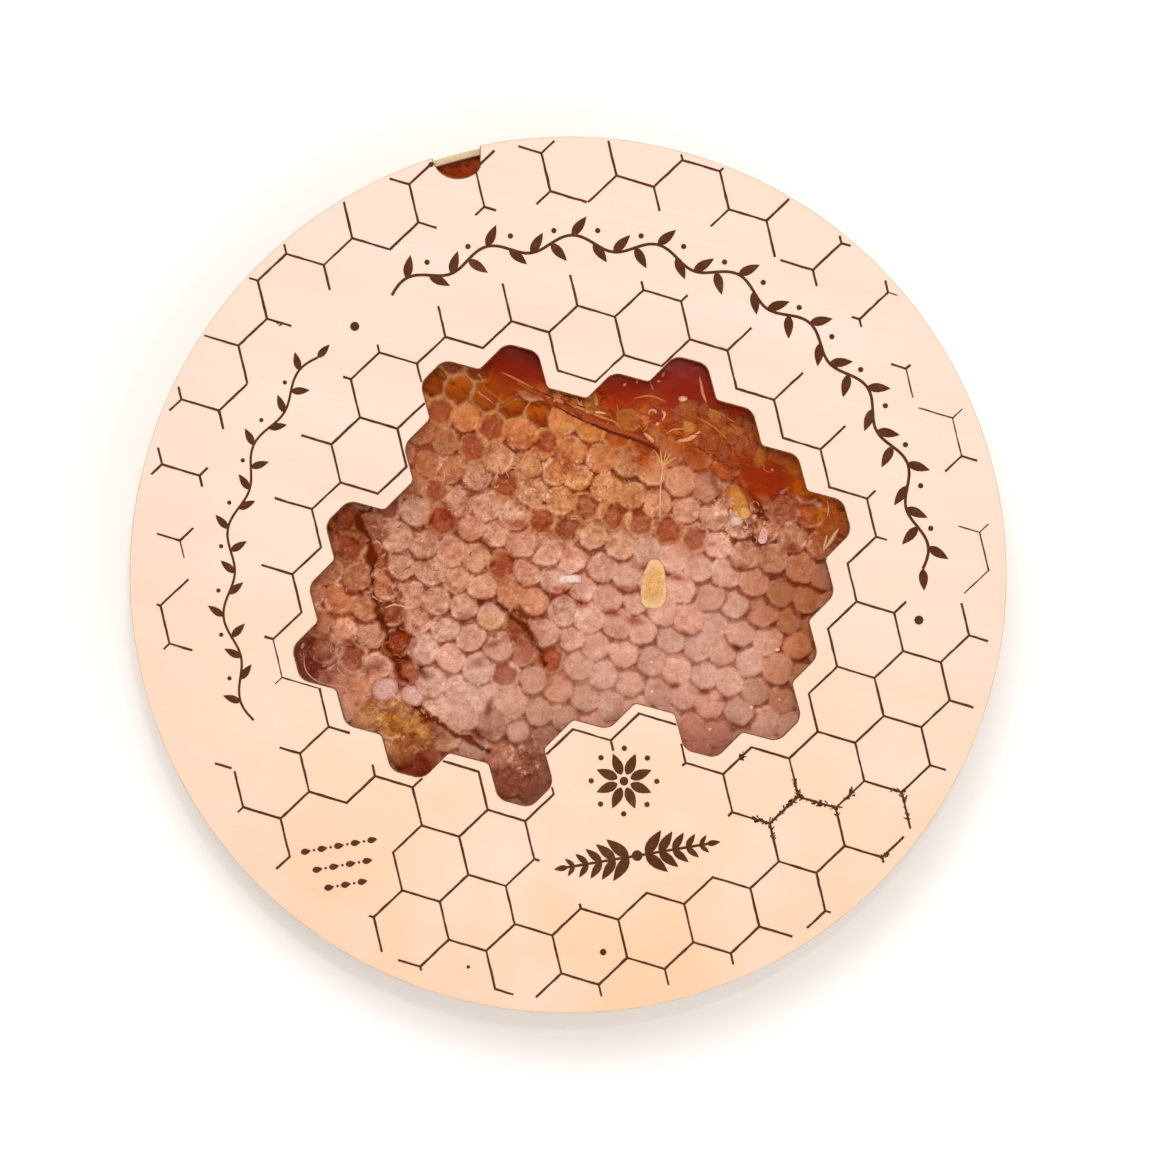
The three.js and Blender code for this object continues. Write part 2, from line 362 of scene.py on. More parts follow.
def spin(mesh: Mesh, geom: list, turn: float, steps: int) -> None:
    """Turns a profile round the Z axis; a full turn is closed.

    Args:
        mesh: The mesh that holds the profile.
        geom: The profile's parts.
        turn: How far it turns, in degrees.
        steps: Number of steps.
    """
    bmesh.ops.spin(
        mesh,
        geom=geom,
        axis=(0, 0, 1),
        cent=(0, 0, 0),
        dvec=(0, 0, 0),
        angle=math.radians(turn),
        steps=steps,
        use_merge=turn == 360,
    )


def bevel(mesh: Mesh, geom: list, reach: float, segments: int, affect: str = "EDGES") -> None:
    """Rounds edges or corners.

    Args:
        mesh: The mesh that holds them.
        geom: The edges, or the corners.
        reach: How far the rounding reaches.
        segments: Steps across it.
        affect: What is rounded, EDGES or VERTICES.
    """
    bmesh.ops.bevel(
        mesh,
        geom=geom,
        offset=reach,
        offset_type="OFFSET",
        segments=segments,
        profile=0.5,
        affect=affect,
        clamp_overlap=False,
        material=-1,
    )


def soften(mesh: Mesh, width: float) -> None:
    """Rounds the sharp edges of a mesh that lie level.

    Args:
        mesh: The mesh.
        width: How far the rounding reaches from an edge.
    """
    sharp = []
    for edge in mesh.edges:
        first, second = edge.verts
        is_level = abs(first.co.z - second.co.z) < width / 10
        is_sharp = len(edge.link_faces) == 2 and edge.calc_face_angle(0) > math.radians(ROUNDED_TURN)
        if is_sharp and is_level:
            sharp.append(edge)
    bevel(mesh, sharp, width, 2)


def drop_strays(mesh: Mesh) -> None:
    """Removes edges and points that no face uses.

    Args:
        mesh: The mesh.
    """
    spurs = [edge for edge in mesh.edges if not edge.link_faces]
    bmesh.ops.delete(mesh, geom=spurs, context="EDGES")
    strays = [vert for vert in mesh.verts if not vert.link_faces]
    bmesh.ops.delete(mesh, geom=strays, context="VERTS")


def lay(mesh: Mesh, levels: Array, tints: Array, shares: Array) -> None:
    """Brings the points of a level mesh to their heights, and paints them.

    Args:
        mesh: The mesh, with a colour layer named tint.
        levels: Heights in millimetres.
        tints: Linear colours.
        shares: The number that goes beside each colour.
    """
    layer = mesh.verts.layers.float_color[TINT]
    for vert, level, tint, share in zip(mesh.verts, levels, tints, shares):
        vert.co.z = level
        vert[layer] = (*tint, share)


def paint_all(mesh: Mesh, colour: Colour) -> None:
    """Gives a whole mesh one colour in its layer named tint.

    Args:
        mesh: The mesh.
        colour: The colour, as it looks in the studio.
    """
    layer = mesh.verts.layers.float_color.get(TINT) or mesh.verts.layers.float_color.new(TINT)
    for vert in mesh.verts:
        vert[layer] = rgba(colour)


def shade(piece: Piece, shading: Shading) -> None:
    """Sets how a piece's faces meet in the light.

    Args:
        piece: The piece, whose faces are flat so far.
        shading: The way they meet.
    """
    if shading is Shading.FLAT:
        return
    piece.data.polygons.foreach_set("use_smooth", [True] * len(piece.data.polygons))
    if shading is Shading.BY_ANGLE:
        mesh = bmesh.new()
        mesh.from_mesh(piece.data)
        for edge in mesh.edges:
            edge.smooth = len(edge.link_faces) == 2 and edge.calc_face_angle(0) < math.radians(SHARP_TURN)
        mesh.to_mesh(piece.data)
        mesh.free()


def thicken(piece: Piece, thickness: float, offset: float = -1) -> Piece:
    """Gives a sheet its thickness.

    Args:
        piece: The sheet.
        thickness: Its thickness in millimetres.
        offset: -1 for all of it below the sheet, 0 for half of it on each side.

    Returns:
        The same piece.
    """
    body = piece.modifiers.new("thickness", "SOLIDIFY")
    body.thickness = thickness * MM
    body.offset = offset
    return piece


def finished(
    mesh: Mesh, name: str, materials: list[Material], shading: Shading, stands_for: str = ""
) -> Piece:
    """Makes a piece of a mesh in millimetres, and seats it on the pack.

    Args:
        mesh: The mesh, which is freed.
        name: Name of the piece.
        materials: Its materials, in the order of the faces' indices.
        shading: How its faces meet in the light.
        stands_for: The CAD node that it replaces, if any.

    Returns:
        The piece, at the origin and in metres.
    """
    bmesh.ops.scale(mesh, vec=(MM, MM, MM), verts=mesh.verts)
    piece = loose_object(mesh, name)
    for material in materials:
        piece.data.materials.append(material)
    shade(piece, shading)
    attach(piece, BODY)
    if stands_for:
        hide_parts(stands_for)
    return piece


# ---- Finishes ----


class Painter:
    """Builds one procedural material, node by node."""

    def __init__(self, name: str) -> None:
        """Starts an empty material with one Principled shader.

        Args:
            name: Name of the material.
        """
        self.material = bpy.data.materials.new(name)
        self.material.use_nodes = True
        self.nodes = self.material.node_tree.nodes
        self.links = self.material.node_tree.links
        self.shader = next(node for node in self.nodes if node.type == "BSDF_PRINCIPLED")
        self.place = self.nodes.new("ShaderNodeTexCoord").outputs["Object"]

    def set(self, **sockets: float | tuple[float, ...]) -> "Painter":
        """Sets plain values on the shader's own sockets.

        Args:
            sockets: Values by socket name, with _ for a space.

        Returns:
            This painter.
        """
        for name, value in sockets.items():
            self.shader.inputs[name.replace("_", " ")].default_value = value
        return self

    def feed(self, socket: str, source: Socket) -> None:
        """Links a source to one of the shader's sockets."""
        self.links.new(source, self.shader.inputs[socket])

    def stretched(self, size_mm: Point | Triple, turn: float = 0) -> Socket:
        """Gives coordinates in which one unit has a size on the piece.

        Args:
            size_mm: Size of one unit along X, Y and Z.
            turn: Turn of the pattern round Z, in degrees.

        Returns:
            The coordinates.
        """
        mapping = self.nodes.new("ShaderNodeMapping")
        mapping.vector_type = "TEXTURE"
        sizes = (*size_mm, size_mm[-1])[:3]
        mapping.inputs["Scale"].default_value = tuple(size * MM for size in sizes)
        mapping.inputs["Rotation"].default_value = (0, 0, math.radians(turn))
        self.links.new(self.place, mapping.inputs["Vector"])
        return mapping.outputs["Vector"]

    def noise(self, where: Socket, detail: float = 3, rough: float = 0.5) -> Socket:
        """Adds noise of one unit's size.

        Args:
            where: Coordinates.
            detail: Number of finer layers.
            rough: Strength of the finer layers.

        Returns:
            The noise, round 0.5.
        """
        node = self.nodes.new("ShaderNodeTexNoise")
        node.inputs["Scale"].default_value = 1
        node.inputs["Detail"].default_value = detail
        node.inputs["Roughness"].default_value = rough
        self.links.new(where, node.inputs["Vector"])
        return node.outputs["Fac"]

    def range(self, source: Socket, start: Point, end: Point) -> Socket:
        """Maps one range of a value to another, and holds it there.

        Args:
            source: The value.
            start: First and last value taken in.
            end: First and last value given out.

        Returns:
            The mapped value.
        """
        node = self.nodes.new("ShaderNodeMapRange")
        for name, value in zip(("From Min", "From Max", "To Min", "To Max"), (*start, *end)):
            node.inputs[name].default_value = value
        self.links.new(source, node.inputs["Value"])
        return node.outputs["Result"]

    def give(self, socket: Socket, value: Socket | float | Colour) -> None:
        """Links a value to a node's socket, or sets a plain number or colour on it.

        Args:
            socket: The socket.
            value: What it gets.
        """
        if isinstance(value, Socket):
            self.links.new(value, socket)
        else:
            socket.default_value = rgba(value) if isinstance(value, tuple) else value

    def math(self, kind: str, first: Socket, second: Socket | float = 0.0) -> Socket:
        """Joins two values.

        Args:
            kind: Name of the sum.
            first: First value.
            second: Second value, or a number.

        Returns:
            The result.
        """
        node = self.nodes.new("ShaderNodeMath")
        node.operation = kind
        self.give(node.inputs[0], first)
        self.give(node.inputs[1], second)
        return node.outputs["Value"]

    def times(self, first: Socket, second: Socket | float) -> Socket:
        """Multiplies two values."""
        return self.math("MULTIPLY", first, second)

    def away(self, source: Socket, middle: Socket | float) -> Socket:
        """Gives how far a value lies from a middle, either way."""
        return self.math("ABSOLUTE", self.math("SUBTRACT", source, middle))

    def mixed(
        self, share: Socket | float, first: Socket | Colour, second: Socket | Colour, blend: str = "MIX"
    ) -> Socket:
        """Mixes two colours.

        Args:
            share: Share of the second.
            first: First colour, linked or plain.
            second: Second colour, linked or plain.
            blend: How they are joined.

        Returns:
            The mixed colour.
        """
        node = self.nodes.new("ShaderNodeMix")
        node.data_type = "RGBA"
        node.blend_type = blend
        for number, value in ((0, share), (6, first), (7, second)):
            self.give(node.inputs[number], value)
        return node.outputs[2]

    def attribute(self, name: str, part: str = "Color") -> Socket:
        """Reads a colour that the mesh carries, or with "Alpha" the number beside it.

        Args:
            name: Name of the mesh's layer.
            part: Which of the two.

        Returns:
            What was read.
        """
        node = self.nodes.new("ShaderNodeAttribute")
        node.attribute_name = name
        return node.outputs[part]

    def along(self, axis: str) -> Socket:
        """Reads the place along X, Y or Z, in metres.

        Args:
            axis: The axis.

        Returns:
            The place.
        """
        node = self.nodes.new("ShaderNodeSeparateXYZ")
        self.links.new(self.place, node.inputs["Vector"])
        return node.outputs[axis]

    def bump(self, *layers: tuple[Socket, float]) -> None:
        """Raises fine relief in the shading.

        Args:
            layers: Height source and its full height in millimetres, for each layer.
        """
        normal = None
        for source, height in layers:
            node = self.nodes.new("ShaderNodeBump")
            node.inputs["Strength"].default_value = 1
            node.inputs["Distance"].default_value = height * MM
            self.links.new(source, node.inputs["Height"])
            if normal is not None:
                self.links.new(normal, node.inputs["Normal"])
            normal = node.outputs["Normal"]
        if normal is not None:
            self.feed("Normal", normal)


@dataclass(frozen=True)
class BoardFinish:
    """Pale sanded board with faint grain, a little yellower towards the -Y side."""

    pale: Colour = (255, 225, 206)
    streak: Colour = (252, 217, 193)
    yellower: Colour = (253, 210, 170)
    fleck: Colour = (240, 198, 168)
    grain_turn: float = -11
    yellow_from: float = 0.02
    yellow_to: float = -0.085

    def make(self) -> Material:
        """Builds the board's material.

        Returns:
            The material.
        """
        paint = Painter("sanded_board")
        fibres = paint.noise(paint.stretched((22, 0.5), self.grain_turn), 4, 0.6)
        bands = paint.noise(paint.stretched((70, 7), self.grain_turn), 2)
        flecks = paint.noise(paint.stretched((3.2, 0.3), self.grain_turn), 2)
        clouds = paint.noise(paint.stretched((28, 28)), 3)
        base = paint.mixed(paint.range(bands, (0.35, 0.7), (0, 0.6)), self.pale, self.streak)
        # Towards -Y the board turns darker and yellower, in patches.
        yellow = paint.range(paint.along("Y"), (self.yellow_from, self.yellow_to), (0, 0.95))
        patchy = paint.times(yellow, paint.range(clouds, (0.35, 0.62), (0.25, 1.25)))
        base = paint.mixed(patchy, base, self.yellower)
        base = paint.mixed(paint.range(fibres, (0.5, 0.8), (0, 0.3)), base, self.streak)
        base = paint.mixed(paint.range(flecks, (0.68, 0.8), (0, 0.35)), base, self.fleck)
        paint.feed("Base Color", base)
        paint.feed("Roughness", paint.range(fibres, (0.3, 0.7), (0.62, 0.74)))
        paint.bump((fibres, 0.03), (flecks, 0.02))
        return paint.set(Specular_IOR_Level=0.3).material


@dataclass(frozen=True)
class PlyEdgeFinish:
    """The sawn edge of a three-ply board: end grain between long grain, with thin glue lines."""

    bottom: float
    thickness: float
    long_grain: Colour = (236, 203, 168)
    end_grain: Colour = (206, 160, 116)
    glue: Colour = (140, 92, 58)
    late_wood: Colour = (214, 172, 130)
    pore: Colour = (158, 112, 76)
    core_share: float = 0.42
    glue_width: float = 0.1
    # Width over which one ply's grain passes into the next.
    seam_width: float = 0.04

    def make(self, name: str) -> Material:
        """Builds the material of one board's edge.

        Args:
            name: Name of the material.

        Returns:
            The material.
        """
        paint = Painter(name)
        middle = (self.bottom + self.thickness / 2) * MM
        offset = paint.away(paint.along("Z"), middle)
        core, seam = self.thickness * self.core_share / 2 * MM, self.seam_width / 2 * MM
        is_core = paint.range(offset, (core + seam, core - seam), (0, 1))
        is_glue = paint.range(paint.away(offset, core), (self.glue_width * MM, 0), (0, 0.8))
        pores = paint.noise(paint.stretched((0.35, 0.35, 0.12)), 3, 0.6)
        long = paint.noise(paint.stretched((6, 6, 0.2)), 3)
        outer = paint.mixed(paint.range(long, (0.4, 0.7), (0, 0.6)), self.long_grain, self.late_wood)
        inner = paint.mixed(paint.range(pores, (0.45, 0.7), (0, 0.8)), self.end_grain, self.pore)
        colour = paint.mixed(is_core, outer, inner)
        paint.feed("Base Color", paint.mixed(is_glue, colour, self.glue))
        paint.bump((pores, 0.06))
        return paint.set(Roughness=0.78, Specular_IOR_Level=0.25).material


@dataclass(frozen=True)
class ScorchedFinish:
    """The window's cut edge, browned by the cutting beam."""

    dark: Colour = (122, 74, 46)
    light: Colour = (176, 122, 84)

    def make(self) -> Material:
        """Builds the cut edge's material.

        Returns:
            The material.
        """
        paint = Painter("scorched_cut")
        stripes = paint.noise(paint.stretched((0.5, 0.5, 9)), 3, 0.6)
        colour = paint.mixed(paint.range(stripes, (0.35, 0.65), (0, 1)), self.dark, self.light)
        paint.feed("Base Color", colour)
        paint.bump((stripes, 0.05))
        return paint.set(Roughness=0.75, Specular_IOR_Level=0.2).material


@dataclass(frozen=True)
class InkFinish:
    """Dark brown print, a little uneven where the board took less of it."""

    full: Colour = (86, 43, 16)
    thin: Colour = (122, 77, 48)

    def make(self) -> Material:
        """Builds the print's material.

        Returns:
            The material.
        """
        paint = Painter("brown_print")
        wear = paint.noise(paint.stretched((1.1, 1.1)), 4, 0.65)
        broad = paint.noise(paint.stretched((16, 16)), 2)
        worn, faded = paint.range(wear, (0.5, 0.8), (0, 0.7)), paint.range(broad, (0.5, 0.75), (0, 0.3))
        paint.feed("Base Color", paint.mixed(paint.math("ADD", worn, faded), self.full, self.thin))
        paint.feed("Roughness", paint.range(wear, (0.3, 0.7), (0.5, 0.7)))
        return paint.set(Specular_IOR_Level=0.08).material


@dataclass(frozen=True)
class VeneerFinish:
    """Bent bare veneer with upright grain."""

    pale: Colour = (238, 208, 170)
    band: Colour = (226, 188, 144)
    line: Colour = (206, 164, 118)
    pore: Colour = (160, 112, 74)

    def make(self) -> Material:
        """Builds the hoop's material.

        Returns:
            The material.
        """
        paint = Painter("bent_veneer")
        fibres = paint.noise(paint.stretched((0.5, 0.5, 30)), 4, 0.6)
        bands = paint.noise(paint.stretched((7, 7, 80)), 2)
        pores = paint.noise(paint.stretched((0.25, 0.25, 2.5)), 2)
        base = paint.mixed(paint.range(bands, (0.35, 0.7), (0, 0.55)), self.pale, self.band)
        base = paint.mixed(paint.range(fibres, (0.45, 0.75), (0, 0.65)), base, self.line)
        base = paint.mixed(paint.range(pores, (0.66, 0.78), (0, 0.5)), base, self.pore)
        paint.feed("Base Color", base)
        paint.feed("Roughness", paint.range(fibres, (0.3, 0.7), (0.55, 0.7)))
        paint.bump((fibres, 0.05), (pores, 0.04))
        return paint.set(Specular_IOR_Level=0.3).material


@dataclass(frozen=True)
class WaxFinish:
    """Capped wax, satin and wet in places, in the colours that the mesh carries, with painted shade along
    fine creases and pale flecks that are partly painted highlights.
    """

    roughness: float = 0.42
    grit: float = 0.12
    grain: Colour = (206, 160, 142)
    # Fine creases darkened by this colour are painted shade; the pale fleck colour is partly painted
    # highlight.
    crease_shade: Colour = (196, 132, 112)
    fleck: Colour = (246, 218, 190)

    def make(self) -> Material:
        """Builds the comb's material.

        Returns:
            The material.
        """
        paint = Painter("capped_wax")
        grains = paint.noise(paint.stretched((0.42, 0.42)), 4, 0.6)
        folds = paint.noise(paint.stretched((1.5, 1.3)), 2, 0.5)
        flakes = paint.noise(paint.stretched((0.75, 0.75)), 3, 0.6)
        crumpled = paint.attribute(TINT, "Alpha")
        # Where the wax is crumpled: painted shade along fine creases, and pale flecks that are partly painted
        # highlights.
        line = paint.times(paint.range(paint.away(folds, 0.5), (0.0, 0.022), (0.8, 0)), crumpled)
        bright = paint.times(paint.range(flakes, (0.55, 0.72), (0, 0.5)), crumpled)
        tint = paint.attribute(TINT)
        tint = paint.mixed(paint.range(grains, (0.25, 0.6), (0.45, 0)), tint, self.grain, "MULTIPLY")
        tint = paint.mixed(line, tint, self.crease_shade, "MULTIPLY")
        tint = paint.mixed(bright, tint, self.fleck, "SOFT_LIGHT")
        tint = paint.mixed(paint.times(bright, 0.5), tint, self.fleck)
        paint.feed("Base Color", tint)
        satin = (self.roughness - 0.1, self.roughness + 0.14)
        paint.feed("Roughness", paint.range(folds, (0.3, 0.7), satin))
        paint.bump((folds, self.grit * 1.4), (flakes, self.grit), (grains, self.grit * 0.8))
        return paint.set(Specular_IOR_Level=0.12).material


@dataclass(frozen=True)
class HoneyFinish:
    """Glossy honey, darker where it is deeper, in the colours that the mesh carries."""

    roughness: float = 0.08
    streak_turn: float = -26
    pale: Colour = (204, 108, 16)
    dark: Colour = (88, 20, 0)

    def make(self) -> Material:
        """Builds the honey's material.

        Returns:
            The material.
        """
        paint = Painter("amber_honey")
        streaks = paint.noise(paint.stretched((5.0, 0.9), self.streak_turn), 4, 0.6)
        lumps = paint.noise(paint.stretched((1.7, 1.2), self.streak_turn), 3, 0.6)
        waves = paint.noise(paint.stretched((3.5, 3.5)), 1)
        shallow = paint.attribute(TINT, "Alpha")
        pale = paint.times(paint.range(streaks, (0.52, 0.68), (0, 0.6)), shallow)
        dark = paint.times(paint.range(lumps, (0.48, 0.3), (0, 0.85)), shallow)
        tint = paint.mixed(pale, paint.attribute(TINT), self.pale)
        tint = paint.mixed(dark, tint, self.dark)
        paint.feed("Base Color", tint)
        paint.bump((waves, 0.05))
        return paint.set(Roughness=self.roughness, Specular_IOR_Level=0.05).material


@dataclass(frozen=True)
class FilmFinish:
    """Clear thin film: nearly all of what lies below shows through."""

    tint: Colour = (140, 66, 22)
    alpha: float = 0.03
    roughness: float = 0.12

    def make(self) -> Material:
        """Builds the film's material.

        Returns:
            The material.
        """
        paint = Painter("clear_film")
        for spare in [node for node in paint.nodes if node.type == "TEX_COORD"]:
            paint.nodes.remove(spare)
        colour = rgba(self.tint)
        return paint.set(Base_Color=colour, Roughness=self.roughness, Alpha=self.alpha, IOR=1.48).material


@dataclass(frozen=True)
class StudioFinish:
    """The plain pale floor."""

    pale: Colour = (274, 273, 272)
    shade: Colour = (271, 270, 269)

    def make(self) -> Material:
        """Builds the floor's material.

        Returns:
            The material.
        """
        paint = Painter("pale_floor")
        clouds = paint.noise(paint.stretched((90, 90)), 2)
        paint.feed("Base Color", paint.mixed(clouds, self.pale, self.shade))
        return paint.set(Roughness=0.9, Specular_IOR_Level=0.1).material


# ---- The printed hexagons and the window cut along them ----


@dataclass(frozen=True)
class PrintLattice:
    """Hexagons printed on the lid: their pitch, turn and first centre."""

    pitch: float = 12.375
    turn: float = 13.32
    origin: Point = (3.956, -67.788)
    rows: tuple[int, int] = (-14, 18)
    places: tuple[int, int] = (-22, 12)
    # Hexagons whose centres lie further out than this are left out.
    reach: float = 92

    @property
    def side(self) -> float:
        """Length of a hexagon's side."""
        return self.pitch / math.sqrt(3)

    def centre(self, row: int, place: int) -> Vector:
        """Gives a hexagon's centre.

        Args:
            row: Which row, along the turned X axis.
            place: Which place in the row.

        Returns:
            The centre.
        """
        across = towards(self.turn, self.pitch) * row
        along = towards(self.turn - 60, self.pitch) * place
        return Vector(self.origin) + across + along

    def corner(self, row: int, place: int, number: int) -> Vector:
        """Gives one of a hexagon's six corners, anticlockwise."""
        return self.centre(row, place) + towards(self.turn - 30 + 60 * number, self.side)

    def sides(self) -> list[tuple[Vector, Vector, bool]]:
        """Lists each side of the hexagons round the pack's axis once.

        Returns:
            Start, end and a mark that is True for a side between two cut hexagons.
        """
        seen: dict[tuple[int, int], tuple[Vector, Vector, bool]] = {}
        for row in range(*self.rows):
            for place in range(*self.places):
                if self.centre(row, place).length > self.reach:
                    continue
                for number, (row_step, place_step) in enumerate(NEIGHBOURS):
                    start, end = self.corner(row, place, number), self.corner(row, place, number + 1)
                    middle = (start + end) * 0.5
                    key = (round(middle.x * 4), round(middle.y * 4))
                    both = WINDOW.holds(row, place) and WINDOW.holds(row + row_step, place + place_step)
                    seen.setdefault(key, (start, end, both))
        return list(seen.values())


# The six neighbours of a hexagon as steps of row and place, anticlockwise from the row axis.
NEIGHBOURS = ((1, 0), (1, -1), (0, -1), (-1, 0), (-1, 1), (0, 1))


@dataclass(frozen=True)
class WindowCut:
    """The window: a cluster of the printed hexagons, cut small, a little turned and off register."""

    lattice: PrintLattice = PrintLattice()
    # First and last hexagon of each row.
    rows: tuple[tuple[int, int], ...] = (
        (-6, -4), (-7, -3), (-8, -4), (-8, -4), (-9, -3), (-10, -3), (-10, -4), (-9, -5), (-9, -6),
    )
    scale: float = 0.946
    turn: float = 1.63
    pivot: Point = (0.8, 0.55)
    shift: Point = (-0.6, -0.54)
    inset: float = 0.71
    convex_radius: float = 2.4
    concave_radius: float = 1.05
    corner_steps: int = 4

    def holds(self, row: int, place: int) -> bool:
        """Tells whether the window takes a printed hexagon."""
        return 0 <= row < len(self.rows) and self.rows[row][0] <= place <= self.rows[row][1]

    def placed(self, point: Vector) -> Vector:
        """Moves a point of the print to where the cutter took it.

        Args:
            point: The point on the print.

        Returns:
            The point on the cut.
        """
        pivot = Vector(self.pivot)
        offset = (point - pivot) * self.scale
        offset.rotate(Matrix.Rotation(math.radians(self.turn), 2))
        return pivot + offset + Vector(self.shift)

    def corners(self) -> list[Vector]:
        """Lists the window's corners anticlockwise, before inset and rounding.

        Returns:
            The corners.
        """
        steps = []
        for row, (first, last) in enumerate(self.rows):
            for place in range(first, last + 1):
                for number, (row_step, place_step) in enumerate(NEIGHBOURS):
                    if not self.holds(row + row_step, place + place_step):
                        start = self.lattice.corner(row, place, number)
                        end = self.lattice.corner(row, place, number + 1)
                        steps.append((self.placed(start), self.placed(end)))
        chain = [steps[0]]
        while (chain[-1][1] - chain[0][0]).length > 0.01:
            chain.append(min(steps, key=lambda step: (step[0] - chain[-1][1]).length))
        return [start for start, _ in chain]

    def face(self, mesh: Mesh, inset: float, level: float) -> Face:
        """Draws the window with round corners as one flat face.

        Args:
            mesh: The mesh that gets the face.
            inset: How far it is drawn in from the hexagons' sides.
            level: Level of the face.

        Returns:
            The face.
        """
        corners = self.corners()
        verts, turns = [], []
        for before, corner, after in zip(corners[-1:] + corners[:-1], corners, corners[1:] + corners[:1]):
            arriving, leaving = (corner - before).normalized(), (after - corner).normalized()
            side = 1 if arriving.cross(leaving) > 0 else -1
            inward = (leaving - arriving).normalized() * (side * inset / math.cos(math.pi / 6))
            verts.append(mesh.verts.new((*(corner + inward), level)))
            turns.append(side)
        mesh.faces.new(verts)
        # Each corner turns by 60 degrees, so its rounding starts this far from it for each mm of radius.
        reach = math.tan(math.pi / 6)
        for side, radius in ((1, self.convex_radius), (-1, self.concave_radius)):
            sharp = [vert for vert, turn in zip(verts, turns) if turn == side and vert.is_valid]
            bevel(mesh, sharp, radius * reach, self.corner_steps, "VERTICES")
        return mesh.faces[:][0]

    def outline(self, inset: float) -> Array:
        """Gives the rounded outline's points in order.

        Args:
            inset: How far it is drawn in.

        Returns:
            The points, one row each.
        """
        mesh = bmesh.new()
        loop = self.face(mesh, inset, 0).verts
        points = np.array([vert.co.xy for vert in loop])
        mesh.free()
        return points

    def cutter(self, inset: float, bottom: float, top: float) -> Mesh:
        """Makes a closed body of the window's shape.

        Args:
            inset: How far it is drawn in.
            bottom: Level of its underside.
            top: Level of its top.

        Returns:
            The body.
        """
        mesh = bmesh.new()
        prism(mesh, [self.face(mesh, inset, bottom)], top - bottom)
        return mesh


LATTICE = PrintLattice()
WINDOW = WindowCut()


# ---- The boards and the hoop ----


@dataclass(frozen=True)
class PackSizes:
    """Main sizes of the pack, as its frame has them."""

    radius: float = 80.0
    base_top: float = 3.0
    lid_bottom: float = 25.3
    lid_top: float = 28.3
    hoop_radius: float = 79.7
    hoop_wall: float = 1.2
    segments: int = 192


PACK = PackSizes()


@dataclass(frozen=True)
class FingerNotch:
    """The bite out of the lid's rim: a straight right side and a round floor."""

    right: float = -16.1
    left: float = -24.9
    right_depth: float = 74.4
    left_depth: float = 76.4
    floor_right: Point = (-17.4, 71.7)
    floor_left: Point = (-23.8, 71.0)
    outside: float = 84.0
    steps: int = 12

    def outline(self) -> Array:
        """Gives the notch's corners in order.

        Returns:
            The corners, one row each.
        """
        share = np.linspace(0, 1, self.steps)[:, None]
        start, end = np.array([self.left, self.left_depth]), np.array([self.right, self.right_depth])
        pulls = 3 * (1 - share) ** 2 * share * np.array(self.floor_left)
        pulls = pulls + 3 * (1 - share) * share**2 * np.array(self.floor_right)
        floor = (1 - share) ** 3 * start + pulls + share**3 * end
        return np.vstack([[[self.right, self.outside], [self.left, self.outside]], floor])

    def cutter(self, bottom: float, top: float) -> Mesh:
        """Makes the closed body that cuts the notch.

        Args:
            bottom: Level of its underside.
            top: Level of its top.

        Returns:
            The body.
        """
        mesh = bmesh.new()
        rim = mesh.faces.new([mesh.verts.new((x, y, bottom)) for x, y in self.outline()])
        prism(mesh, [rim], top - bottom)
        return mesh


NOTCH = FingerNotch()


@dataclass(frozen=True)
class Boards:
    """The lid with its window and notch, and the plain base."""

    top_drop: float = 0.05
    rounding: float = 0.16
    edge_index: int = 1
    scorch_index: int = 2
    # A face that looks up or down by more than this share is the board's face.
    level_share: float = 0.95
    # A wall face nearer to the notch's outline than this belongs to it.
    notch_reach: float = 0.5
    # How far the cutting bodies stand out above and below.
    overcut: float = 2

    @property
    def lid_face(self) -> float:
        """Level of the lid's bare face, which the print stands on."""
        return PACK.lid_top - self.top_drop

    def sorted_faces(self, mesh: Mesh) -> None:
        """Gives the rim its ply finish, and the window's and notch's walls their scorched one.

        Args:
            mesh: The lid.
        """
        notch = NOTCH.outline()
        for part in mesh.faces:
            middle = part.calc_center_median()
            if abs(part.normal.z) > self.level_share:
                continue
            in_notch = distance_to_path(notch, middle.x, middle.y) < self.notch_reach
            outer = middle.xy.length > PACK.radius - 1.0 and not in_notch
            part.material_index = self.edge_index if outer else self.scorch_index

    def build_lid(self, board: Material, scorched: Material) -> Piece:
        """Builds the lid.

        Args:
            board: Material of its faces.
            scorched: Material of its cut edges.

        Returns:
            The lid.
        """
        edge = PlyEdgeFinish(PACK.lid_bottom, self.lid_face - PACK.lid_bottom).make("lid_ply_edge")
        body = disc(PACK.radius, PACK.lid_bottom, self.lid_face, PACK.segments)
        low, high = PACK.lid_bottom - self.overcut, self.lid_face + self.overcut
        mesh = cut_away(body, [WINDOW.cutter(WINDOW.inset, low, high), NOTCH.cutter(low, high)])
        soften(mesh, self.rounding)
        self.sorted_faces(mesh)
        return finished(mesh, "lid_board", [board, edge, scorched], Shading.BY_ANGLE, "lid")

    def build_base(self, board: Material) -> Piece:
        """Builds the base.

        Args:
            board: Material of its faces.

        Returns:
            The base.
        """
        edge = PlyEdgeFinish(0, PACK.base_top).make("base_ply_edge")
        mesh = disc(PACK.radius, 0, PACK.base_top, PACK.segments)
        soften(mesh, self.rounding)
        for part in mesh.faces:
            part.material_index = 0 if abs(part.normal.z) > self.level_share else self.edge_index
        return finished(mesh, "base_board", [board, edge], Shading.BY_ANGLE, "base")


BOARDS = Boards()


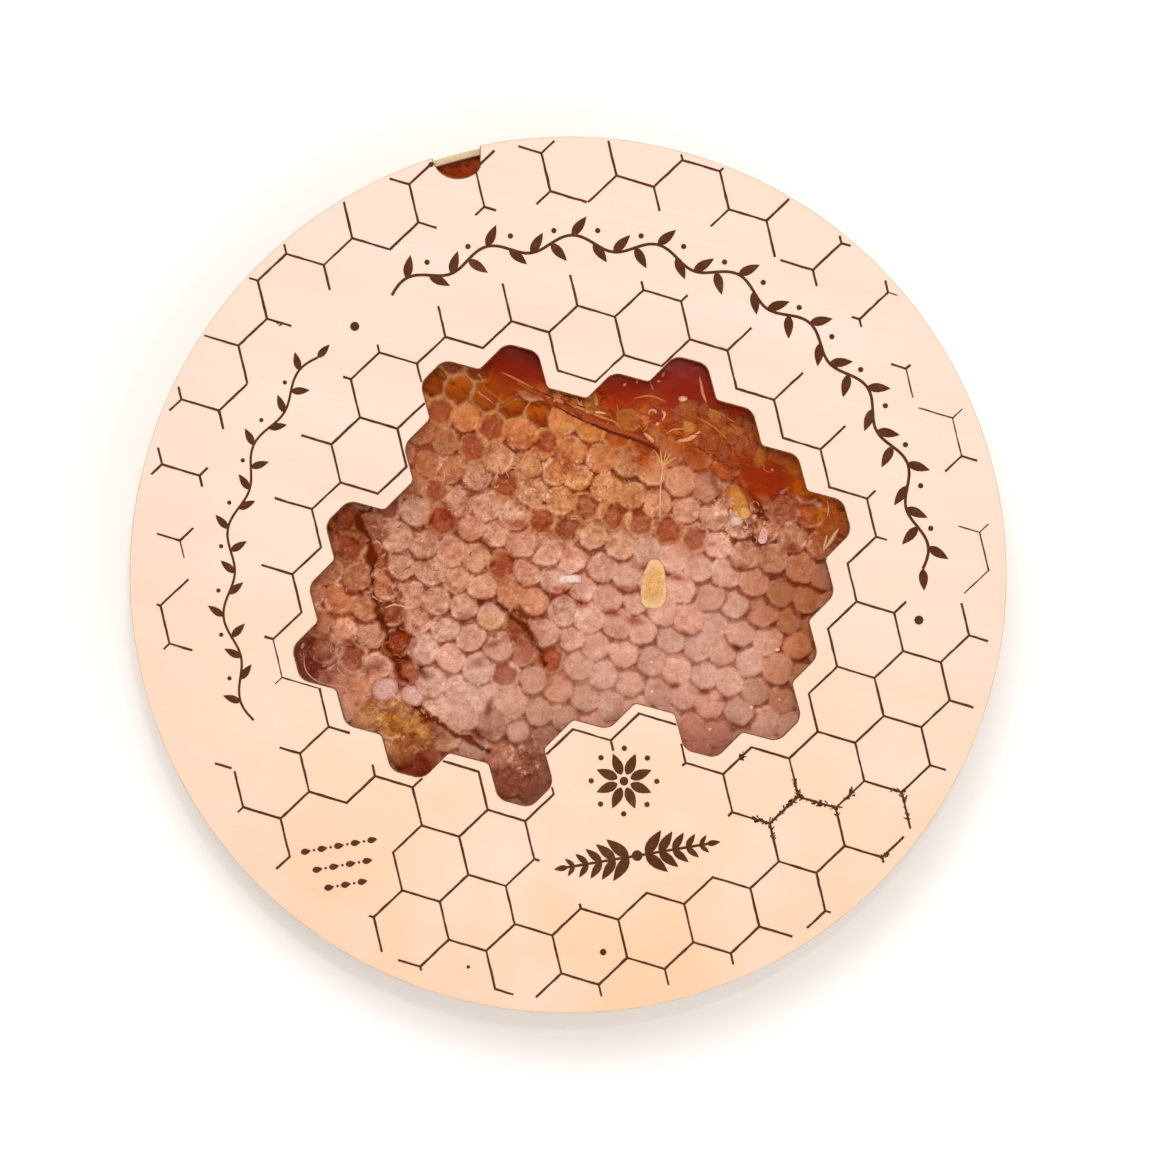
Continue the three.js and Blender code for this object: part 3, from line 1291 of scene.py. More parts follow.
@dataclass(frozen=True)
class Hoop:
    """The bent veneer wall, whose outer end laps over it and thins out."""

    lap_start: float = -72
    lap_end: float = -30
    lap_thickness: float = 0.26
    # How far the lap stays clear of the boards, and how deep it reaches into the wall.
    lap_inset: float = 0.1
    lap_steps: int = 42
    # Share of the lap's length over which it thins out to its end.
    lap_scarf: float = 1 / 6
    rounding: float = 0.2

    def build(self, veneer: Material) -> Piece:
        """Builds the wall.

        Args:
            veneer: Its material.

        Returns:
            The hoop.
        """
        mesh = bmesh.new()
        low, high = PACK.base_top, PACK.lid_bottom
        inner, outer = PACK.hoop_radius - PACK.hoop_wall, PACK.hoop_radius
        corners = [(inner, low), (outer, low), (outer, high), (inner, high)]
        profile = [mesh.verts.new((radius, 0, level)) for radius, level in corners]
        spin(mesh, [*profile, *ring(mesh, profile)], 360, PACK.segments)
        bmesh.ops.remove_doubles(mesh, verts=mesh.verts, dist=0.001)
        bmesh.ops.recalc_face_normals(mesh, faces=mesh.faces)
        soften(mesh, self.rounding)
        return finished(mesh, "hoop_band", [veneer], Shading.BY_ANGLE, "hoop")

    def build_lap(self, veneer: Material) -> Piece:
        """Builds the lapped end of the veneer.

        Args:
            veneer: Its material.

        Returns:
            The lap.
        """
        mesh = bmesh.new()
        low, high = PACK.base_top + self.lap_inset, PACK.lid_bottom - self.lap_inset
        inner = PACK.hoop_radius - self.lap_inset
        outer = inner + self.lap_inset
        corners = [(inner, low), (outer, low), (outer, high), (inner, high)]
        profile = [mesh.verts.new((*towards(self.lap_start, radius), level)) for radius, level in corners]
        turn = self.lap_end - self.lap_start
        spin(mesh, [mesh.faces.new(profile)], turn, self.lap_steps)
        for vert in mesh.verts:
            share = (math.degrees(math.atan2(vert.co.y, vert.co.x)) - self.lap_start) / turn
            if vert.co.xy.length > (inner + outer) / 2:
                swell = min(1.0, share / self.lap_scarf) * self.lap_thickness
                vert.co.xy *= (outer + swell) / vert.co.xy.length
        bmesh.ops.recalc_face_normals(mesh, faces=mesh.faces)
        return finished(mesh, "hoop_lap", [veneer], Shading.BY_ANGLE)


# ---- The print on the lid ----

PRINT_SEED = 11


@dataclass(frozen=True)
class RoundPlace:
    """A round place on the lid."""

    x: float
    y: float
    reach: float

    def covers(self, x: Array, y: Array) -> Array:
        """Tells which points lie in the place."""
        return np.hypot(x - self.x, y - self.y) < self.reach


@dataclass(frozen=True)
class ArcPlace:
    """A clear band round part of the lid, kept for an ornament."""

    x: float = 1.44
    y: float = -2.75
    inner: float = 57.5
    outer: float = 70.8
    first: float = -2.0
    last: float = 208.0

    def covers(self, x: Array, y: Array) -> Array:
        """Tells which points lie in the band.

        Args:
            x: Places along X.
            y: Places along Y.

        Returns:
            True where a point is in the band.
        """
        reach = np.hypot(x - self.x, y - self.y)
        angle = np.degrees(np.arctan2(y - self.y, x - self.x)) % 360
        angle = np.where(angle > self.last, angle - 360, angle)
        return (reach > self.inner) & (reach < self.outer) & (angle > self.first)


@dataclass(frozen=True)
class FlatPlace:
    """A clear place with straight sides, kept for an ornament."""

    corners: tuple[Point, ...]

    def covers(self, x: Array, y: Array) -> Array:
        """Tells which points lie in the place."""
        return inside(np.asarray(self.corners), x, y)


@dataclass(frozen=True)
class LidPrint:
    """Thin brown lines along the hexagons, with their gaps, burrs and specks."""

    line_width: float = 0.42
    line_depth: float = 0.09
    # Distance of the points at which a line is tested, and the shortest part that is kept.
    sample: float = 0.15
    shortest: float = 0.6
    # How far the lines end short of the window's edge.
    window_gap: float = 0.35
    # Width of a faint line as a share of a full one.
    faint_share: float = 0.6
    # Levels below the lid's top, of the lines and of the stray dots.
    line_drop: float = 0.005
    speck_drop: float = 0.006
    # Length of one stiff part of a line.
    part: float = 1.1
    # Flakes tried for each millimetre of a line.
    burrs: float = 7
    # How far a point of a line may lie off its place, as a rough mean.
    wobble: float = 0.028
    # How far each direction of lines, and the burrs, lie below the first.
    step_down: float = 0.004
    burr_drop: float = 0.014
    # How far out the print reaches, as angle round the lid and radius.
    reach: tuple[Point, ...] = (
        (-180, 75.4), (-168, 75.0), (-163, 72.0), (-150, 73.4), (-135, 75.5), (-110, 77.0), (-95, 77.2),
        (-70, 77.0), (-50, 78.1), (-30, 77.4), (-20, 77.9), (0, 77.2), (15, 77.4), (30, 78.5),
        (45, 79.0), (60, 79.5), (90, 79.4), (97, 78.7), (104, 78.4), (112, 79.3), (135, 79.5),
        (150, 79.4), (160, 78.4), (168, 78.2), (174, 75.4), (180, 75.0),
    )
    band: ArcPlace = ArcPlace()
    panel: FlatPlace = FlatPlace(
        (
            (-2.6, -40.8), (1.2, -30.9), (8.2, -32.0), (13.0, -27.1), (19.3, -28.6), (20.9, -35.3),
            (27.8, -37.3), (29.3, -44.6), (26.3, -47.9), (27.3, -54.1), (21.6, -58.8), (15.1, -56.8),
            (9.5, -61.5), (2.9, -60.2), (0.4, -59.7), (-0.8, -54.4), (-5.3, -52.2),
        )
    )
    corner_block: FlatPlace = FlatPlace(
        (
            (-51.3, -53.1), (-48.7, -47.8), (-40.2, -41.9), (-33.5, -47.8), (-31.9, -50.2), (-34.8, -60.4),
            (-35.4, -62.0), (-43.4, -63.9), (-54.4, -54.0),
        )
    )
    worn: tuple[RoundPlace, ...] = (
        RoundPlace(-69.9, -29.2, 7.6),
        RoundPlace(-74.0, -22.0, 7.0),
        RoundPlace(-37.3, -31.4, 3.6),
        RoundPlace(-69.5, 1.2, 2.0),
        RoundPlace(64.5, 39.8, 2.6),
        RoundPlace(-7.9, -76.1, 1.3),
    )
    faint: tuple[RoundPlace, ...] = (
        RoundPlace(-50.0, -18.0, 6.0),
        RoundPlace(66.0, 28.0, 8.0),
        RoundPlace(76.5, 6.0, 8.0),
        RoundPlace(61.0, 49.0, 4.0),
        RoundPlace(-66.0, 1.0, 6.0),
    )
    # Places where the ink bled and flaked beside the line.
    burred: tuple[RoundPlace, ...] = (
        RoundPlace(41.4, -40.1, 2.8),
        RoundPlace(45.2, -41.5, 2.6),
        RoundPlace(39.0, -43.2, 1.3),
        RoundPlace(35.7, -44.4, 1.9),
        RoundPlace(37.6, -47.0, 1.4),
        RoundPlace(50.9, -40.1, 1.2),
        RoundPlace(48.9, -43.4, 1.2),
        RoundPlace(60.2, -40.6, 1.7),
        RoundPlace(61.6, -43.8, 1.2),
        RoundPlace(31.9, -33.2, 0.8),
        RoundPlace(57.5, -52.0, 1.2),
        RoundPlace(-52.5, 45.0, 0.9),
    )
    specks: tuple[RoundPlace, ...] = (
        RoundPlace(6.4, -68.8, 0.62),
        RoundPlace(-18.2, -71.5, 0.34),
        RoundPlace(-25.0, 74.9, 0.5),
    )
    # The print's own repeatable chance.
    chance: Chance = field(default_factory=lambda: np.random.default_rng(PRINT_SEED), compare=False)

    def is_printed(self, x: Array, y: Array) -> Array:
        """Tells where lines are printed.

        Args:
            x: Places along X.
            y: Places along Y.

        Returns:
            True where the ink is.
        """
        angles, radii = np.array(self.reach).T
        limit = np.interp(np.degrees(np.arctan2(y, x)), angles, radii)
        kept = np.hypot(x, y) < limit
        kept &= ~inside(WINDOW.outline(WINDOW.inset - self.window_gap), x, y)
        kept &= ~inside(NOTCH.outline(), x, y)
        for place in (self.band, self.panel, self.corner_block, *self.worn):
            kept &= ~place.covers(x, y)
        return kept

    def runs(self, start: Vector, end: Vector) -> list[tuple[Vector, Vector]]:
        """Cuts a side of a hexagon down to what is printed.

        Args:
            start: Its start.
            end: Its end.

        Returns:
            Start and end of each printed part.
        """
        count = int((end - start).length / self.sample) + 1
        share = np.linspace(0, 1, count)
        kept = self.is_printed(start.x + (end.x - start.x) * share, start.y + (end.y - start.y) * share)
        marks = np.flatnonzero(np.diff(np.concatenate([[0], kept.astype(int), [0]])))
        parts = []
        for first, last in zip(marks[::2], marks[1::2] - 1):
            if (share[last] - share[first]) * (end - start).length > self.shortest:
                parts.append((start.lerp(end, share[first]), start.lerp(end, share[last])))
        return parts

    def bar(self, mesh: Mesh, start: Vector, end: Vector, width: float, drop: float) -> None:
        """Lays one printed line.

        Args:
            mesh: The mesh that gets it.
            start: Its start.
            end: Its end.
            width: Its width.
            drop: How far below the print's top it lies.
        """
        run = end - start
        middle = (start + end) * 0.5
        level = PACK.lid_top - self.line_drop - drop
        place = Matrix.Translation((middle.x, middle.y, level))
        place = place @ Matrix.Rotation(math.atan2(run.y, run.x), 4, "Z")
        place = place @ Matrix.Diagonal((run.length + width * 0.6, width, 1, 1))
        steps = max(1, int(run.length / self.part))
        made = bmesh.ops.create_grid(mesh, x_segments=steps, y_segments=1, size=0.5, matrix=place)
        for vert in made["verts"]:
            vert.co.x += self.chance.normal(0, self.wobble)
            vert.co.y += self.chance.normal(0, self.wobble)

    def build_lines(self, ink: Material) -> Piece:
        """Builds the hexagons' lines.

        Args:
            ink: Material of the print.

        Returns:
            The lines, as one piece.
        """
        mesh = bmesh.new()
        for start, end, is_cut_out in LATTICE.sides():
            if is_cut_out:
                continue
            direction = round(math.degrees(math.atan2(end.y - start.y, end.x - start.x)) / 60) % 3
            for first, last in self.runs(start, end):
                middle = (first + last) * 0.5
                faint = any(place.covers(middle.x, middle.y) for place in self.faint)
                width = self.line_width * self.chance.uniform(0.92, 1.1) * (self.faint_share if faint else 1)
                self.bar(mesh, first, last, width, self.step_down * direction)
                self.add_burrs(mesh, first, last)
        self.add_specks(mesh)
        return self.seated(mesh, "print_lines", ink)

    def seated(self, mesh: Mesh, name: str, ink: Material) -> Piece:
        """Gives flat print its thickness, down into the board.

        Args:
            mesh: Flat faces at the print's level.
            name: Name of the piece.
            ink: Its material.

        Returns:
            The piece.
        """
        for part in mesh.faces:
            if part.normal.z < 0:
                part.normal_flip()
        return thicken(finished(mesh, name, [ink], Shading.FLAT), self.line_depth)

    def add_burrs(self, mesh: Mesh, start: Vector, end: Vector) -> None:
        """Adds flakes of ink along a line, where it bled.

        Args:
            mesh: The mesh that gets them.
            start: The line's start.
            end: Its end.
        """
        run = end - start
        across = Vector((-run.y, run.x)).normalized()
        for _ in range(int(run.length * self.burrs)):
            at = start + run * self.chance.uniform(0, 1) + across * self.chance.normal(0, 0.2)
            slant = math.degrees(math.atan2(run.y, run.x)) + self.chance.uniform(-55, 55)
            length, width = self.chance.uniform(0.2, 0.75), self.chance.uniform(0.12, 0.3)
            if any(place.covers(at.x, at.y) for place in self.burred):
                self.bar(mesh, at, at + towards(slant, length), width, self.burr_drop)

    def add_specks(self, mesh: Mesh) -> None:
        """Adds the stray dots of ink.

        Args:
            mesh: The mesh that gets them.
        """
        for speck in self.specks:
            place = Matrix.Translation((speck.x, speck.y, PACK.lid_top - self.speck_drop))
            bmesh.ops.create_circle(mesh, cap_ends=True, segments=10, radius=speck.reach, matrix=place)


@dataclass(frozen=True)
class Ornaments:
    """Plain leaf work in the lid's clear places."""

    level: float = PACK.lid_top - 0.008
    stem: float = 0.55
    wave: float = 1.35
    wave_length: float = 15.5
    # Leaves of a garland: length, width and how far they stand off their stem in degrees.
    leaf_length: float = 4.3
    leaf_width: float = 1.75
    leaf_tilt: float = 52
    berry: float = 0.5
    # The garlands: first and last angle round the lid, and size.
    garlands: tuple[Triple, ...] = ((3.5, 122, 1.0), (138, 202, 0.8))
    # Dots between them: angles, how far out they stand, and radius.
    stops: Point = (130, -5)
    stop_offset: float = -0.6
    stop_radius: float = 0.85
    flower_at: Point = (10.2, -37.6)
    flower_radius: float = 6.3
    sprig_at: Point = (12.6, -51.2)
    sprig_turn: float = 9.5
    sprig_half: float = 13.2
    # The rows of seeds: where the first one's middle is, the rows' turn, distance, numbers and size.
    seeds_at: Point = (-41.8, -49.4)
    seeds_turn: float = 10
    seeds_pitch: float = 3.6
    seed_counts: tuple[int, ...] = (5, 4, 3)
    seed_size: float = 1.9

    def leaf(self, mesh: Mesh, root: Vector, degrees: float, length: float, width: float) -> None:
        """Adds a pointed leaf.

        Args:
            mesh: The mesh that gets it.
            root: Where it springs from.
            degrees: Which way it points.
            length: Its length.
            width: Its greatest width.
        """
        made = bmesh.ops.create_circle(mesh, cap_ends=True, segments=16, radius=1)
        turn = Matrix.Rotation(math.radians(degrees), 2)
        for vert in made["verts"]:
            share = (vert.co.x + 1) / 2
            half = math.sin(math.pi * share**0.75) ** 0.9 if 0 < share < 1 else 0
            side = math.copysign(half * width / 2, vert.co.y) if abs(vert.co.y) > 1e-6 else 0
            spot = root + turn @ Vector((share * length, side))
            vert.co = (spot.x, spot.y, self.level)

    def dot(self, mesh: Mesh, at: Vector, radius: float) -> None:
        """Adds a round dot."""
        place = Matrix.Translation((at.x, at.y, self.level - 0.004))
        bmesh.ops.create_circle(mesh, cap_ends=True, segments=14, radius=radius, matrix=place)

    def ribbon(self, mesh: Mesh, path: Array, width: float) -> None:
        """Adds a line of even width along a path.

        Args:
            mesh: The mesh that gets it.
            path: Its points in order.
            width: Its width.
        """
        made = bmesh.ops.create_grid(mesh, x_segments=len(path) - 1, y_segments=1, size=0.5)
        ahead = np.gradient(path, axis=0)
        ahead /= np.hypot(*ahead.T)[:, None]
        for vert in made["verts"]:
            number = round((vert.co.x + 0.5) * (len(path) - 1))
            side = math.copysign(width / 2, vert.co.y)
            x, y = path[number]
            vert.co = (x - ahead[number][1] * side, y + ahead[number][0] * side, self.level - 0.008)

    def on_arc(self, band: ArcPlace, degrees: float, offset: float) -> Vector:
        """Gives a point in the clear band.

        Args:
            band: The band.
            degrees: Angle round it.
            offset: Distance outwards from its middle.

        Returns:
            The point.
        """
        middle = (band.inner + band.outer) / 2 - 0.75
        return Vector((band.x, band.y)) + towards(degrees, middle + offset)

    def vine(self, mesh: Mesh, band: ArcPlace, first: float, last: float, size: float) -> None:
        """Adds a waving stem with leaves and berries along part of the band.

        Args:
            mesh: The mesh that gets it.
            band: The clear band.
            first: Angle where the stem ends.
            last: Angle where it starts.
            size: Size of the leaf work, 1 for full size.
        """
        radius = (band.inner + band.outer) / 2
        turns = math.radians(last - first) * radius / self.wave_length
        turns = max(1, round(turns * 2) / 2)
        angles = np.linspace(last, first, int(turns * 28))
        waves = np.sin(np.linspace(0, turns * 2 * math.pi, len(angles))) * self.wave * size
        path = np.array([self.on_arc(band, angle, wave) for angle, wave in zip(angles, waves)])
        self.ribbon(mesh, path, self.stem * size)
        count = int(turns * 4)
        for number in range(1, count):
            at = number / count * (len(angles) - 1)
            angle, wave = np.interp(at, range(len(angles)), angles), np.interp(at, range(len(angles)), waves)
            side = 1 if number % 2 else -1
            root = self.on_arc(band, angle, wave)
            onward = angle - 90
            tilt = side * self.leaf_tilt
            self.leaf(mesh, root, onward + tilt, self.leaf_length * size, self.leaf_width * size)
            if number % 2 == 0:
                self.dot(mesh, self.on_arc(band, angle - 0.6, wave + 2.3 * size), self.berry * size)
        self.leaf(mesh, self.on_arc(band, first, waves[-1]), first - 90, 4.0 * size, 1.7 * size)

    def rosette(self, mesh: Mesh, at: Vector, radius: float) -> None:
        """Adds a flower of eight petals with a ring of dots.

        Args:
            mesh: The mesh that gets it.
            at: Its middle.
            radius: Its radius.
        """
        for number in range(8):
            heading = 22 + number * 45
            self.leaf(mesh, at + towards(heading, radius * 0.2), heading, radius * 0.66, radius * 0.3)
            self.dot(mesh, at + towards(heading + 22.5, radius * 0.95), radius * 0.08)
        self.dot(mesh, at, radius * 0.13)

    def spray(self, mesh: Mesh, at: Vector, turn: float, half: float) -> None:
        """Adds a level sprig: leaf pairs along a stem that runs both ways from its middle.

        Args:
            mesh: The mesh that gets it.
            at: Its middle.
            turn: Its turn in degrees.
            half: Half its length.
        """
        for side in (0, 180):
            heading = turn + side
            path = np.array([at + towards(heading, share * half) for share in np.linspace(0.02, 1, 9)])
            self.ribbon(mesh, path, 0.5)
            for number in range(5):
                root = at + towards(heading, half * (0.12 + 0.19 * number))
                length = 5.2 - 0.75 * number
                for tilt in (48, -48):
                    self.leaf(mesh, root, heading + tilt, length, length * 0.4)
            self.leaf(mesh, at + towards(heading, half * 0.97), heading, 2.6, 1.1)
        self.dot(mesh, at, 1.0)

    def beads(self, mesh: Mesh, at: Vector, turn: float, count: int, size: float) -> None:
        """Adds a level row of lozenges with dots between them.

        Args:
            mesh: The mesh that gets it.
            at: Its middle.
            turn: Its turn in degrees.
            count: Number of lozenges.
            size: Length of one.
        """
        for number in range(count):
            centre = at + towards(turn, (number - (count - 1) / 2) * size * 1.62)
            self.leaf(mesh, centre - towards(turn, size / 2), turn, size, size * 0.62)
            if number:
                self.dot(mesh, centre - towards(turn, size * 0.81), size * 0.13)

    def build(self, ink: Material) -> Piece:
        """Builds all the leaf work.

        Args:
            ink: Material of the print.

        Returns:
            The leaf work, as one piece.
        """
        mesh = bmesh.new()
        for first, last, size in self.garlands:
            self.vine(mesh, PRINT.band, first, last, size)
        for angle in self.stops:
            self.dot(mesh, self.on_arc(PRINT.band, angle, self.stop_offset), self.stop_radius)
        self.rosette(mesh, Vector(self.flower_at), self.flower_radius)
        self.spray(mesh, Vector(self.sprig_at), self.sprig_turn, self.sprig_half)
        for number, count in enumerate(self.seed_counts):
            centre = Vector(self.seeds_at) + towards(self.seeds_turn - 90, number * self.seeds_pitch)
            self.beads(mesh, centre, self.seeds_turn, count, self.seed_size)
        return PRINT.seated(mesh, "print_leaf_work", ink)


PRINT = LidPrint()
ORNAMENTS = Ornaments()


# ---- The comb ----


class CellKind(Enum):
    """What has become of a cell, with the depth of its floor below its wall."""

    CAPPED = 0.0
    WALLED = 0.62
    SUNK = 0.75
    OPEN = 2.0


@dataclass(frozen=True)
class Wash:
    """A soft field over the comb or the honey, mostly of a colour."""

    name: str
    x: float
    y: float
    reach: float
    colour: Colour = (0, 0, 0)
    strength: float = 1.0
    squeeze: float = 1.0
    turn: float = 0.0

    def weight(self, x: Array, y: Array) -> Array:
        """Gives the field's strength at points, from 0 to 1.

        Args:
            x: Places along X.
            y: Places along Y.

        Returns:
            The strengths.
        """
        angle = math.radians(self.turn)
        along = (x - self.x) * math.cos(angle) + (y - self.y) * math.sin(angle)
        across = (y - self.y) * math.cos(angle) - (x - self.x) * math.sin(angle)
        away = np.hypot(along, across / self.squeeze) / self.reach
        return self.strength * np.exp(-(away**3))

    def random_place(self, chance: Chance) -> Vector:
        """Draws a place within the field's reach.

        Args:
            chance: The chance that draws it.

        Returns:
            The place.
        """
        away, heading = self.reach * math.sqrt(chance.uniform(0, 1)), chance.uniform(0, 2 * math.pi)
        along, across = away * math.cos(heading), away * math.sin(heading) * self.squeeze
        return Vector((self.x, self.y)) + towards(self.turn, along) + towards(self.turn + 90, across)


def washed(ground: Array, washes: tuple[Wash, ...], x: Array, y: Array) -> Array:
    """Lays soft fields of colour over a ground, one after another.

    Args:
        ground: Linear colours, one row for each point.
        washes: The fields.
        x: Places along X.
        y: Places along Y.

    Returns:
        The new colours.
    """
    for wash in washes:
        ground = blended(ground, linear(wash.colour), wash.weight(x, y)[:, None])
    return ground


def greatest(washes: tuple[Wash, ...], x: Array, y: Array) -> Array:
    """Gives the greatest strength of a few fields at points."""
    return np.max([wash.weight(x, y) for wash in washes], axis=0)


@dataclass(frozen=True)
class Dip:
    """A round place where the comb's face lies lower than round it."""

    x: float
    y: float
    reach: float
    depth: float

    def drop(self, x: Array, y: Array) -> Array:
        """Gives how far the face drops at points."""
        away = np.hypot(x - self.x, y - self.y) * (1 + 0.28 * Ripple(3.1, 17).at(x, y))
        return self.depth * (1 - smooth(self.reach * 0.5, self.reach, away))


@dataclass(frozen=True)
class Crack:
    """A crack through the caps, along a path."""

    path: tuple[Point, ...]
    half_width: float
    depth: float

    def away(self, x: Array, y: Array, seed: int) -> Array:
        """Gives the distance from the crack's ragged, wandering middle at points.

        Args:
            x: Places along X.
            y: Places along Y.
            seed: Seed of its first wave; those after it are its own too.

        Returns:
            Distances in millimetres.
        """
        moved_x = ripples(x, y, (3.1, seed, 0.9), (1.1, seed + 1, 0.45), start=x)
        moved_y = ripples(x, y, (2.7, seed + 2, 0.7), (0.9, seed + 3, 0.4), start=y)
        away = distance_to_path(rounded_path(self.path, 1.0), moved_x, moved_y)
        return away / (1 + 0.6 * Ripple(2.4, seed + 4).at(x, y))


@dataclass(frozen=True)
class Relief:
    """What shows at each point of the comb: its level, its cell, and how shaded it is there."""

    level: Array
    owner: tuple[Array, Array]
    nearest: tuple[Array, Array]
    wall: Array
    lip_shade: Array
    seam: Array
    rim: Array


@dataclass(frozen=True)
class CellSheet:
    """The comb's cells as tables over their two lattice numbers, a little uneven."""

    origin: Point = (1.24, 3.12)
    step: float = 5.08
    step_turn: float = -15.7
    cross: float = 5.32
    cross_turn: float = 48.1
    half: float = 2.65
    jitter: float = 0.42
    reach: int = 20
    # What each cap draws, as a least value and a span: radius, lean and dome.
    radii: Point = (2.55, 0.45)
    leans: Point = (0.08, 0.66)
    domes: Point = (0.08, 0.26)
    # Which way caps lean and how far that spreads, in degrees; and how their levels spread.
    lean_heading: float = -90
    lean_spread: float = 70
    level_spread: float = 0.34
    # How far a cap's rounded rim reaches in and drops, and how steeply the cap falls beyond it.
    rim_width: float = 0.55
    rim_drop: float = 0.16
    steepness: float = 3.2
    # Lowest level of a cap beside a hollow cell, of the gaps between caps, and of what never shows.
    lowest_cap: float = -0.45
    lowest_gap: float = -0.95
    buried: float = -9
    # Cells that differ from their neighbours, by their centres.
    spots: tuple[tuple[CellKind, tuple[Point, ...]], ...] = ()
    # Where some cells, drawn at random, are walled and bare.
    walled: tuple[Wash, ...] = ()
    tables: dict[str, Array] = field(default_factory=dict, compare=False)

    def __post_init__(self) -> None:
        """Fills the tables."""
        span = np.arange(-self.reach, self.reach + 1)
        step, cross = np.meshgrid(span, span, indexing="ij")
        first, second = towards(self.step_turn, self.step), towards(self.cross_turn, self.cross)
        chance = [self.chance(step, cross, salt) for salt in range(12)]
        x = self.origin[0] + first.x * step + second.x * cross + (chance[0] - 0.5) * 2 * self.jitter
        y = self.origin[1] + first.y * step + second.y * cross + (chance[1] - 0.5) * 2 * self.jitter
        lean = self.leans[0] + self.leans[1] * chance[2] ** 2
        heading = np.radians(self.lean_heading + (chance[3] - 0.5) * self.lean_spread)
        kind = np.full(x.shape, CellKind.CAPPED.value)
        for wash in self.walled:
            kind = np.where(chance[9] < wash.weight(x, y), CellKind.WALLED.value, kind)
        for chosen, places in self.spots:
            for place_x, place_y in places:
                away = np.hypot(x - place_x, y - place_y)
                kind[np.unravel_index(np.argmin(away), away.shape)] = chosen.value
        self.tables.update(
            x=x,
            y=y,
            kind=kind,
            radius=self.radii[0] + self.radii[1] * chance[4],
            lean_x=lean * np.cos(heading),
            lean_y=lean * np.sin(heading),
            base=(chance[5] - 0.6) * self.level_spread,
            dome=self.domes[0] + self.domes[1] * chance[6],
            light=chance[7],
            warmth=chance[8],
            depth=chance[10],
        )

    def chance(self, step: Array, cross: Array, salt: float) -> Array:
        """Gives repeatable numbers from 0 to 1 for cells; another salt gives others."""
        value = np.sin(step * 12.99 + cross * 78.23 + salt * 37.71) * 43758.5
        return value - np.floor(value)

    def around(self, x: Array, y: Array) -> list[tuple[Array, Array]]:
        """Lists the cells near each point.

        Args:
            x: Places along X.
            y: Places along Y.

        Returns:
            Sixteen pairs of table rows and columns.
        """
        first, second = towards(self.step_turn, self.step), towards(self.cross_turn, self.cross)
        area = first.x * second.y - first.y * second.x
        off_x, off_y = x - self.origin[0], y - self.origin[1]
        row = np.floor((off_x * second.y - off_y * second.x) / area).astype(int) + self.reach
        column = np.floor((first.x * off_y - first.y * off_x) / area).astype(int) + self.reach
        last = 2 * self.reach
        steps = (-1, 0, 1, 2)
        return [(np.clip(row + a, 0, last), np.clip(column + b, 0, last)) for a in steps for b in steps]

    def relief(self, x: Array, y: Array) -> Relief:
        """Lays the caps like scales: each point shows the highest cap there.

        Args:
            x: Places along X.
            y: Places along Y.

        Returns:
            Level against the face's mean, owners and shades.
        """
        table = self.tables
        warped_x = ripples(x, y, (1.7, 91, 0.24), (0.8, 92, 0.12), start=x)
        warped_y = ripples(x, y, (1.7, 93, 0.24), (0.8, 94, 0.12), start=y)
        crumble = ripples(x, y, (0.95, 96, 0.6), (0.5, 97, 0.4))
        cells = self.around(x, y)
        near, edge = np.full((2, *x.shape), np.inf)
        top, next_top = np.full((2, *x.shape), -np.inf)
        nearest = owner = cells[0]
        rim = np.zeros(x.shape)
        lips = []
        for cell in cells:
            off_x, off_y = warped_x - table["x"][cell], warped_y - table["y"][cell]
            away = np.maximum(np.hypot(off_x, off_y), 1e-6)
            closer = away < near
            edge = np.where(closer, near, np.minimum(edge, away))
            near = np.where(closer, away, near)
            nearest = [np.where(closer, new, old) for new, old in zip(cell, nearest)]
            radius = table["radius"][cell]
            within = np.minimum(away, radius)
            slope = table["lean_x"][cell] * off_x + table["lean_y"][cell] * off_y
            bulge = table["dome"][cell] * (1 - (within / radius) ** 2)
            lip = table["base"][cell] + slope * (within / away) / self.half
            round_off = self.rim_drop * smooth(radius - self.rim_width, radius, away)
            is_capped = table["kind"][cell] == CellKind.CAPPED.value
            height = lip + bulge - round_off - self.steepness * np.maximum(away - radius, 0)
            height = np.where(is_capped, height, self.buried)
            higher = height > top
            next_top = np.maximum(next_top, np.where(higher, top, height))
            top = np.where(higher, height, top)
            rim = np.where(higher, away - radius, rim)
            owner = [np.where(higher, new, old) for new, old in zip(cell, owner)]
            # Weight of the cap's -Y side, away from the light, where painted shade falls below its lip.
            below = smooth(-0.35, 0.6, -off_y / away)
            lips.append((away - radius, lip, below * is_capped))
        gap = (edge - near) / 2
        kind = table["kind"][tuple(nearest)]
        hollow = kind != CellKind.CAPPED.value
        wall = 1 - smooth(0.35, 1.0, gap + 0.3 * crumble + 0.22 * (kind == CellKind.OPEN.value))
        depth = kind + 0.3 * (table["depth"][tuple(nearest)] - 0.5)
        pit = 0.1 + 0.1 * Ripple(1.3, 95).at(x, y) - depth * (1 - wall)
        cap = np.where(top > self.lowest_cap, top, self.buried)
        level = np.where(hollow, np.maximum(pit, cap), np.maximum(top, self.lowest_gap))
        covered = hollow & (pit >= cap)
        owner = [np.where(covered, new, old) for new, old in zip(nearest, owner)]
        # Painted shade below the caps' raised lips.
        shade = np.zeros(x.shape)
        for beyond, lip, below in lips:
            fall = lip - 0.05 - level
            reach = (0.25 + 1.35 * np.clip(fall, 0, 1.0)) * (1 + 0.5 * crumble)
            here = smooth(0.08, 0.36, fall) * (1 - smooth(reach * 0.6, reach, beyond))
            shade = np.maximum(shade, here * (0.2 + 0.8 * below) * (beyond > -0.1) * (below > 0))
        shade *= np.clip(1 + 0.35 * crumble, 0, 1)
        # Seams where two caps meet nearly level, which get painted shade.
        seam = np.where(covered, 0, 1 - smooth(0.02, 0.14, top - next_top))
        return Relief(level, tuple(owner), tuple(nearest), np.where(covered, wall, -1), shade, seam, rim)


